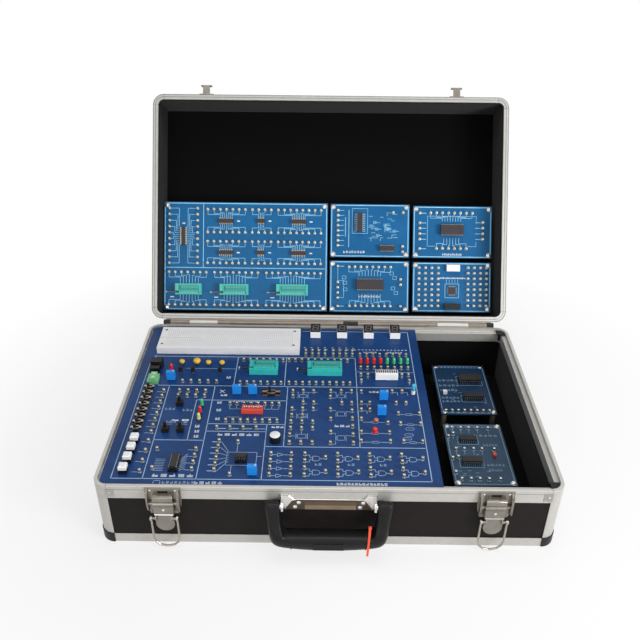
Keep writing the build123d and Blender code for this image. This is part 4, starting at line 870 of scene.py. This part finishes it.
# ---- lever sockets
def zif(body, dark, pale, plate, x, y, length, width, contacts):
    """Lever socket: base, sliding top plate with two rows of slots, and the lever's notch."""
    left, front, back = x - length / 2, y - width / 2, y + width / 2
    lever_y = front + LEVER_IN
    body.box(left + 4.6 + (length - 4.6) / 2, y, 0, length - 4.6, width, ZIF_H - 2.4, 0.5, 2)
    body.box(left + 2.3, (lever_y + 1.4 + back) / 2, 0, 4.6, back - lever_y - 1.4, ZIF_H - 1, 0.4)
    body.box(left + 2.3, (lever_y - 1.4 + front) / 2, 0, 4.6, lever_y - 1.4 - front, ZIF_H - 1, 0.3)
    body.box(left + 5.2 + (length - 6.4) / 2, y, ZIF_H - 2.4, length - 6.4, width - 2.4, 2.2, 0.5, 2)
    plate.box(left + 6.4 + (length - 9) / 2, y + 0.8, ZIF_H - 0.4, length - 9, width - 6, 0.4, 0.2)
    for side in (-1, 1):
        for i in range(contacts):
            slot = (left + 8 + (length - 12) * (i + 0.5) / contacts, y + side * width * 0.205, ZIF_H - 0.05)
            pale.box(*slot, 1.9, 2.5, 0.07)
            dark.box(*slot, 0.5, 1.2, 0.1)
    dark.box(left + 2.3, lever_y, 2, 3.6, 2.4, 1)
    dark.box(left + length - 3.2, y - width * 0.32, ZIF_H - 0.05, 1.4, 1.6, 0.1)
    dark.box(left + 6.6, y + width * 0.1, ZIF_H - 0.05, 0.9, width * 0.3, 0.1)


def zif_sockets(prefix, part, mat, width, spots, replaces=None):
    """Lever sockets of one board and the pale caps on the ends of their levers; returns the dark shape."""
    body = part(prefix + "zif_bodies", mat, replaces=replaces)
    dark = part(prefix + "zif_slots", BLACK)
    pale, plate = part(prefix + "zif_contacts", MINT), part(prefix + "zif_plates", PLATE_TEAL)
    for i, (x, y, length, contacts) in enumerate(spots, 1):
        zif(body, dark, pale, plate, x, y, length, width, contacts)
        lever = f"{prefix}zif_lever_{i}"
        cap = part(lever + "_cap", WHITE, slot="bright_steel", body=lever)
        cap.box(x - length / 2 - 11.4, y - width / 2 + LEVER_IN, ZIF_H - 4.1, 1.8, 1.3, 3, 0.3, 2)
    return dark


MAIN_ZIFS = ((-76.6, 49, 33.3, 7), (-4.6, 48.2, 40.7, 10))
LID_ZIFS = ((-186.8, 39.2, 34.7, 7), (-126, 39.2, 38, 8), (-48.8, 39.4, 42, 10))
zif_sockets("", partial(Shape, slot="teal_plastic", place=MAIN), TEAL, ZIF_WIDTH, MAIN_ZIFS, replaces="zif_sockets")
connector = zif_sockets("lid_", lid_part, LID_TEAL, LID_ZIF_WIDTH, LID_ZIFS)
connector.box(*CONNECTOR, 0, 21, 7.4, 7.6, 0.3)
x, y = CONNECTOR
for side in (-1, 1):
    for i in range(5):
        connector.box(x + (i - 2) * PITCH, y + side * 1.3, 7.6, 1.2, 1.2, 0.05)
lid_part("lid_white_connector", WHITE).box(165.6, 70.9, 0, 17.6, 9, 5.6, 0.4, 2)
for x, y, length, _ in LID_ZIFS:
    lid_white.line([(x - length / 2 - 7.5, 28.6), (x - length / 2 - 3.5, 28.6)], 1.2)


# ---- chips
def chip(body, metal, x, y, length, width, low, height, legs, upright, span):
    """Dual-in-line chip: bevelled body and two rows of bent legs, span apart."""
    turn = pi / 2 if upright else 0
    c, s = cos(turn), sin(turn)
    body.box(x, y, low, length, width, height, 0.35, 1, turn)
    for side in (-1, 1):
        for i in range(legs):
            a = length * ((i + 0.5) / legs - 0.5) * 0.97
            for b, z, sx, sy, h in (
                (side * span / 2, 0, 0.55, 0.3, low + height * 0.5),
                (side * (width + span) / 4, low + height * 0.42, 1.3, (span - width) / 2 + 0.2, 0.3),
            ):
                metal.box(x + a * c - b * s, y + a * s + b * c, z, sx, sy, h, turn=turn)


epoxy = main_part("main_chips", EPOXY, replaces="board_components")
legs = main_part("main_chip_legs", TIN)
sockets = main_part("chip_sockets", BLACK)
for x, y, length, count, upright in ((-154.7, -111.9, 20, 8, True), (-88.7, -103.9, 10, 4, False)):
    for side in (-1, 1):
        for across, along, wide, long, high in (
            (side * 3.8, 0, 2.6, length + 2, 3.6),
            (0, side * (length / 2 + 0.2), 6, 1.6, 3),
        ):
            if upright:
                sockets.box(x + across, y + along, 0, wide, long, high, 0.2)
            else:
                sockets.box(x + along, y + across, 0, long, wide, high, 0.2)
    chip(epoxy, legs, x, y, length, 6.4, 3.7, 3.2, count, upright, 7.6)

lid_epoxy = lid_part("lid_chips", LID_EPOXY, replaces="lid_board_parts")
lid_legs = lid_part("lid_chip_legs", GOLD)
for x, y, length, count in (
    (-138, 130.5, 19.6, 7), (-41, 130.5, 19.6, 8), (-138, 88.5, 19.6, 7), (-41, 88.5, 19.6, 8),
    (-91.3, 131, 9.8, 4), (-91.3, 88.8, 9.8, 4),
):
    chip(lid_epoxy, lid_legs, x, y, length, 5.4, 1, 3.6, count, False, 8)
for spec in (
    (-194.6, 110.2, 24, 4.8, 1, 3.6, 10, True, 8.8),
    (40.2, 130.4, 25, 7, 2.6, 4, 10, True, 8.4),
    (77, 96.2, 19, 6.6, 2.6, 4, 8, False, 8),
    (163.2, 121.6, 30, 13, 3.4, 4.6, 12, False, 14.2),
    (54.8, 47.8, 35.5, 13.6, 3.4, 4.6, 14, False, 14.8),
):
    chip(lid_epoxy, lid_legs, *spec)
lid_epoxy.box(*SQUARE_CHIP, 0.3, 10, 10, 1.6, 0.3)
x, y = SQUARE_CHIP
for i in range(11):
    lid_legs.box(x + (i - 5) * 0.8, y, 0.05, 0.4, 12, 0.3)
    lid_legs.box(x, y + (i - 5) * 0.8, 0.05, 12, 0.4, 0.3)


# ---- switches and buttons
def switch_shell(shape, x, y, end_x, end_size, side_y, side_size, top):
    """Metal end plates and side strips of a slide switch."""
    for sign in (-1, 1):
        shape.box(x + sign * end_x, y, 0.3, *end_size, top - 0.3, 0.2)
        shape.box(x, y + sign * side_y, 3.2, *side_size, top - 3.2, 0.2)


shell = main_part("switch_shells", SWITCH_METAL, replaces="switch_bodies")
core = main_part("switch_cores", BLACK)
for x, y in column(-204.3, 10.7, -60.4, 8):
    core.box(x, y, 0, 11.2, 4.8, 3.2, 0.2)
    switch_shell(shell, x, y, 4.4, (2.6, 5.6), 2.25, (11.4, 1.1), 4.5)
core.box(*MODE_SWITCH, 0, 19.6, 5.4, 3.2, 0.2)
switch_shell(main_part("mode_switch_shell", COPPER), *MODE_SWITCH, 7.2, (5.6, 6.4), 2.5, (20, 1.4), 4.9)
for x, y in ((-165.3, -17), (-173.3, -60.7), (-157.5, -60.5)):
    core.box(x, y, 0, 7.4, 7.4, 5.4, 0.5, 2)
    core.lathe(x, y, [(2.8, 5.4), (2.6, 6), (0, 6)])
for x, y in ((-201.7, -78.4), (-202, -92.5), (-202.5, -107.1), (-203.5, -122.4)):
    core.box(x, y, 0, 8.4, 8.4, 3.4, 0.3)
BANK_X = -83.7
main_part("switch_bank", RED).box(BANK_X, -28.2, 0.4, 23, 9, 5.2, 0.3)
bank_keys = main_part("switch_bank_keys", WHITE)
for i in range(8):
    x = BANK_X + (i - 3.5) * PITCH
    bank_keys.box(x, -27.6, 5.5, 1.3, 3.6, 0.1)
    bank_keys.box(x, -26.8 + (i % 2) * 0.4, 5.5, 1.1, 1.4, 0.5, 0.1)

# ---- small parts of the main board
trimmer = partial(Shape, slot="blue_plastic", place=MAIN)
blue = trimmer("trimmer_bodies", BLUE, replaces="trimmers")
trim_screws = trimmer("trimmer_screws", TRIM_SCREW)
for x, y in ((-104, 4.2), (-86, 4.5), (-75.7, -124), (61.8, -3.4), (57.9, -29.8), (-183, 29.5)):
    blue.box(x, y, 0.6, 9.5, 5, 10.8, 0.9, 3)
    for ox in (-3.6, 3.6):
        blue.box(x + ox, y, 0, 1, 4, 0.7)
    trim_screws.lathe(x + 3, y, [(1.15, 11.3), (1.15, 12.4), (1, 12.6), (0, 12.6)], 14)

resin = main_part("tantalum_capacitors", YELLOW)
for x, y, radius, height in (
    (-175.2, 59.5, 3.3, 5.4), (-157.3, 59.5, 4.5, 7.2), (-143.4, 58.5, 3.3, 5.4), (-127.3, 58.5, 3.3, 5.4),
):
    resin.lathe(x, y, [(radius * a, 0.8 + height * b) for a, b in DROP], 18)
    for side in (-1, 1):
        legs.box(x + side * 1.2, y, 0, 0.5, 0.5, 2.2)
for x, y in ((-174, 41.5), (-159.3, 41.5), (-127.7, 41.6)):
    front_face = [(x - 2.3, y - 1), (x + 2.3, y - 1)]
    epoxy.prism(arc(x, y + 0.5, 2.3, range(0, 181, 20), 0.9) + front_face, 2.2, 6.6, 0.2)
    for i in (-1, 0, 1):
        legs.box(x + i * PITCH / 2, y, 0, 0.45, 0.45, 2.3)
# power inlet and the black part below it
sockets.box(-204.5, 55, 0, 13, 9.4, 9.3, 0.5, 2)
sockets.box(-199.5, 55, 0, 3.6, 13.6, 7.4, 0.4)
sockets.box(-204.5, 44, 0.2, 10.8, 6.2, 6.6, 0.4)
terminal = main_part("screw_terminal", LIGHT_GREEN)
terminal.box(-203, 26, 0, 12.4, 13.8, 5.4, 0.4)
terminal.box(-202.4, 26, 5.4, 7.2, 13.2, 2.9, 1.2, 3)
terminal_screws = main_part("terminal_screws", TIN)
for y in (22.6, 29.4):
    terminal_screws.lathe(-202.4, y, [(1.7, 7.9), (1.7, 8.4), (0, 8.4)], 16)
DAB = ((1.6, 0.4), (2.5, 1.1), (2.7, 2), (2.2, 2.9), (1, 3.4), (0, 3.5))
for name, mat, spot, sides, profile in (
    ("small_orange_part", TERRACOTTA, (51.1, -41.4), 18, DAB),
    ("buzzer_body", BLACK, BUZZER, 32, ((5.9, 0.2), (6, 0.6), (6, 7.6), (5.7, 8), (0, 8))),
    ("buzzer_seal", WHITE, BUZZER, 32, ((5.5, 8), (5.5, 8.12), (5.35, 8.18), (0, 8.18))),
    ("upright_lamp", CYAN, TALL_LAMP, 20, ((2.2, 5.4), (2.3, 5.6), (2.3, 12.4), (2, 13.4), (1.2, 13.9), (0, 14))),
    ("upright_lamp_base", WHITE, TALL_LAMP, 20, ((2.35, 0.6), (2.35, 5.4), (0, 5.4))),
):
    main_part(name, mat).lathe(*spot, profile, sides)

# ---- screws of the lid boards
heads = Shape("lid_board_screws", STEEL, "gold_pin", LID_SHEET, "lid")
for left, right, low, high in LID_BOARDS:
    for x in (left + SCREW_IN, right - SCREW_IN):
        for y in (low + SCREW_IN, high - SCREW_IN):
            heads.lathe(x, y, HEAD_PROFILE, 18)

# ---- loose modules
# chips (x, y, length, width, height, legs), a small block (x, y, size, material), pins and rows of print
MODULES = {
    "pocket_module_rear": (
        POCKET_MASK,
        [(10, 16, 27, 14.5, 7, 12), (9.5, -20, 25, 8.5, 7, 10)],
        (-23.7, -9.5, 5, 4.2, 4, WHITE),
        row(-27.5, 24.3, 8, -45.4),
        [(-27, -6, 17), (-27, -6, 6.5), (-27, -9, -3), (-27, -9, -18), (-27, -9, -25)],
    ),
    "pocket_module_front": (
        POCKET_MASK_PALE,
        [(-8.5, 21, 19, 8.5, 5, 8), (-10, -15.5, 22, 9.5, 7, 10)],
        (16.8, -4, 3.4, 5, 3.6, RED),
        [(x, 40.6) for x in (-24, -14, -5, 5, 17.4)]
        + [(x, 5) for x in (-24.5, -15.3, -5, 4.3, 18)]
        + [(x, -41.5) for x in (-25, -15.2, -5.8, 4, 16)]
        + [(-30, 26), (-24, 31), (-30, -9.6), (-23.7, -7.6), (-29.8, -31.4)],
        [(2, 24, 30), (9, 22, 14), (8, 24, -18), (8, 20, -26), (-24, -20, 10)],
    ),
}
HEX_LOW = -BOARD_T - STANDOFF
HEX_PROFILE = ((2.9, HEX_LOW), (3.2, HEX_LOW + 0.4), (3.2, -BOARD_T - 0.4), (2.9, -BOARD_T))
for node, (mask, chips, block, spots, strokes) in MODULES.items():
    part = partial(Shape, slot="pocket_circuit_board", place=POCKET[node], body=node)
    board = part(node + "_board", mask, replaces=node)
    board.box(0, 0, -BOARD_T, MODULE_X, MODULE_Y, BOARD_T, 0.15)
    hexes, heads = part(node + "_legs", GOLD), part(node + "_screws", STEEL)
    for x in (SCREW_IN - MODULE_X / 2, MODULE_X / 2 - SCREW_IN):
        for y in (SCREW_IN - MODULE_Y / 2, MODULE_Y / 2 - SCREW_IN):
            hexes.lathe(x, y, HEX_PROFILE, 6)
            heads.lathe(x, y, HEAD_PROFILE, 18)
    bodies, feet = part(node + "_chips", EPOXY), part(node + "_chip_legs", TIN)
    *middle, sx, sy, height, mat = block
    part(node + "_small_part", mat).box(*middle, 0, sx, sy, height, 0.5, 2)
    pins(node + "_pins", spots, POCKET[node], node, TIN)
    drawn = part(node + "_print", POCKET_SILK)
    drawn.outline(0, 0, 62, 94, 0.7, 2.5)
    for x, y, length, width, height, count in chips:
        chip(bodies, feet, x, y, length, width - 1.6, height - 4.2, 4.1, count, False, width)
        drawn.outline(x, y, length + 4, width + 4, 0.6)
    for first, last, y in strokes:
        drawn.label(first, last, y, 5, 3, 0.6)
    for x, y in spots:
        way = -1 if y > 0 else 1
        drawn.line([(x, y + way * 2.2), (x, y + way * 6.5)])
    for i in range(16):
        x, y = -26 + random.random() * 50, -40 + random.random() * 80
        drawn.line([(x, y), (x + 3, y)], 0.6)
    drawn.dashes(row(-26, 26, 12, 44.3), -0.8, 0, 0.8, 0, 1.4)

for shape in Shape.made:
    shape.finish()

# ---- floor, light, camera
bm = bmesh.new()
bmesh.ops.create_grid(bm, x_segments=1, y_segments=1, size=12)
mesh = bpy.data.meshes.new("floor")
bm.to_mesh(mesh)
bm.free()
mesh.materials.append(PAPER)
add_object("floor", mesh)


def seen_rays(tree):
    """Socket that is 1 for rays from the camera, off metal and through glass."""
    rays = add(tree, "LightPath", {}).outputs
    seen = rays["Is Camera Ray"]
    for kind in ("Is Glossy Ray", "Is Transmission Ray"):
        seen = add(tree, "Math", {0: seen, 1: rays[kind]}, operation="MAXIMUM").outputs[0]
    return seen


def mixed(tree, factor, first, second, output):
    """Blend two shaders by a factor into the tree's output."""
    mix = add(tree, "MixShader", {0: factor, 1: first.outputs[0], 2: second.outputs[0]})
    wire(tree, tree.nodes[output], {"Surface": mix.outputs[0]})


# The paper keeps the shadow near the case and turns plain white farther out.
tree = PAPER.node_tree
distance = add(tree, "VectorMath", {0: add(tree, "TexCoord", {}).outputs["Object"]}, operation="LENGTH")
whiten = {"Value": distance.outputs["Value"], "From Min": 0.3, "From Max": 0.54, "To Min": 0.7, "To Max": 1}
shares = {0: seen_rays(tree), 1: add(tree, "MapRange", whiten).outputs["Result"]}
fade = add(tree, "Math", shares, operation="MULTIPLY")
mixed(tree, fade.outputs[0], tree.nodes["Principled BSDF"], add(tree, "Emission", {}), "Material Output")

# Soft boxes: name, place, aim, size, power.
for name, place, aim, size, power in (
    ("key", (1.05, -0.85, 0.52), (0, 0, 0.08), 0.6, 16),
    ("fill", (-0.5, -1.5, 0.7), (0, 0.1, 0.1), 1, 5),
    ("top", (0.1, 0.1, 1.9), (0, 0.05, 0.05), 1.2, 12),
):
    lamp = bpy.data.lights.new(name, "AREA")
    lamp.shape = "SQUARE"
    lamp.size = size
    lamp.energy = power
    obj = add_object(name, lamp)
    obj.location = place
    obj.rotation_mode = "QUATERNION"
    obj.rotation_quaternion = (Vector(aim) - Vector(place)).to_track_quat("-Z", "Y")

# The room lights the case at a fraction of the white it shows.
ROOM_LIGHT = 0.36
world = bpy.data.worlds.new("world")
bpy.context.scene.world = world
world.use_nodes = True
tree = world.node_tree
back = wire(tree, tree.nodes["Background"], {"Color": (1, 1, 1, 1), "Strength": ROOM_LIGHT})
white_sky = add(tree, "Background", {"Color": (1, 1, 1, 1), "Strength": 1})
mixed(tree, seen_rays(tree), back, white_sky, "World Output")

# Camera fitted to the photo, in metres, degrees and pixels.
CAMERA_AT = (-0.009, -0.6579, 0.5939)
PITCH_DOWN, YAW, ROLL = radians(32.34), radians(0.15), radians(0.57)
SENSOR, FOCAL_PIXELS, IMAGE_PIXELS = 36, 737.8, 640
cam = bpy.data.cameras.new("camera")
cam.sensor_width = SENSOR
cam.lens = FOCAL_PIXELS / IMAGE_PIXELS * SENSOR
camera = add_object("camera", cam)
bpy.context.scene.camera = camera
turns = (Matrix.Rotation(YAW, 4, "Z"), Matrix.Rotation(pi / 2 - PITCH_DOWN, 4, "X"), Matrix.Rotation(ROLL, 4, "Z"))
camera.matrix_world = Matrix.Translation(CAMERA_AT) @ turns[0] @ turns[1] @ turns[2]
bpy.context.scene.view_settings.view_transform = "Standard"
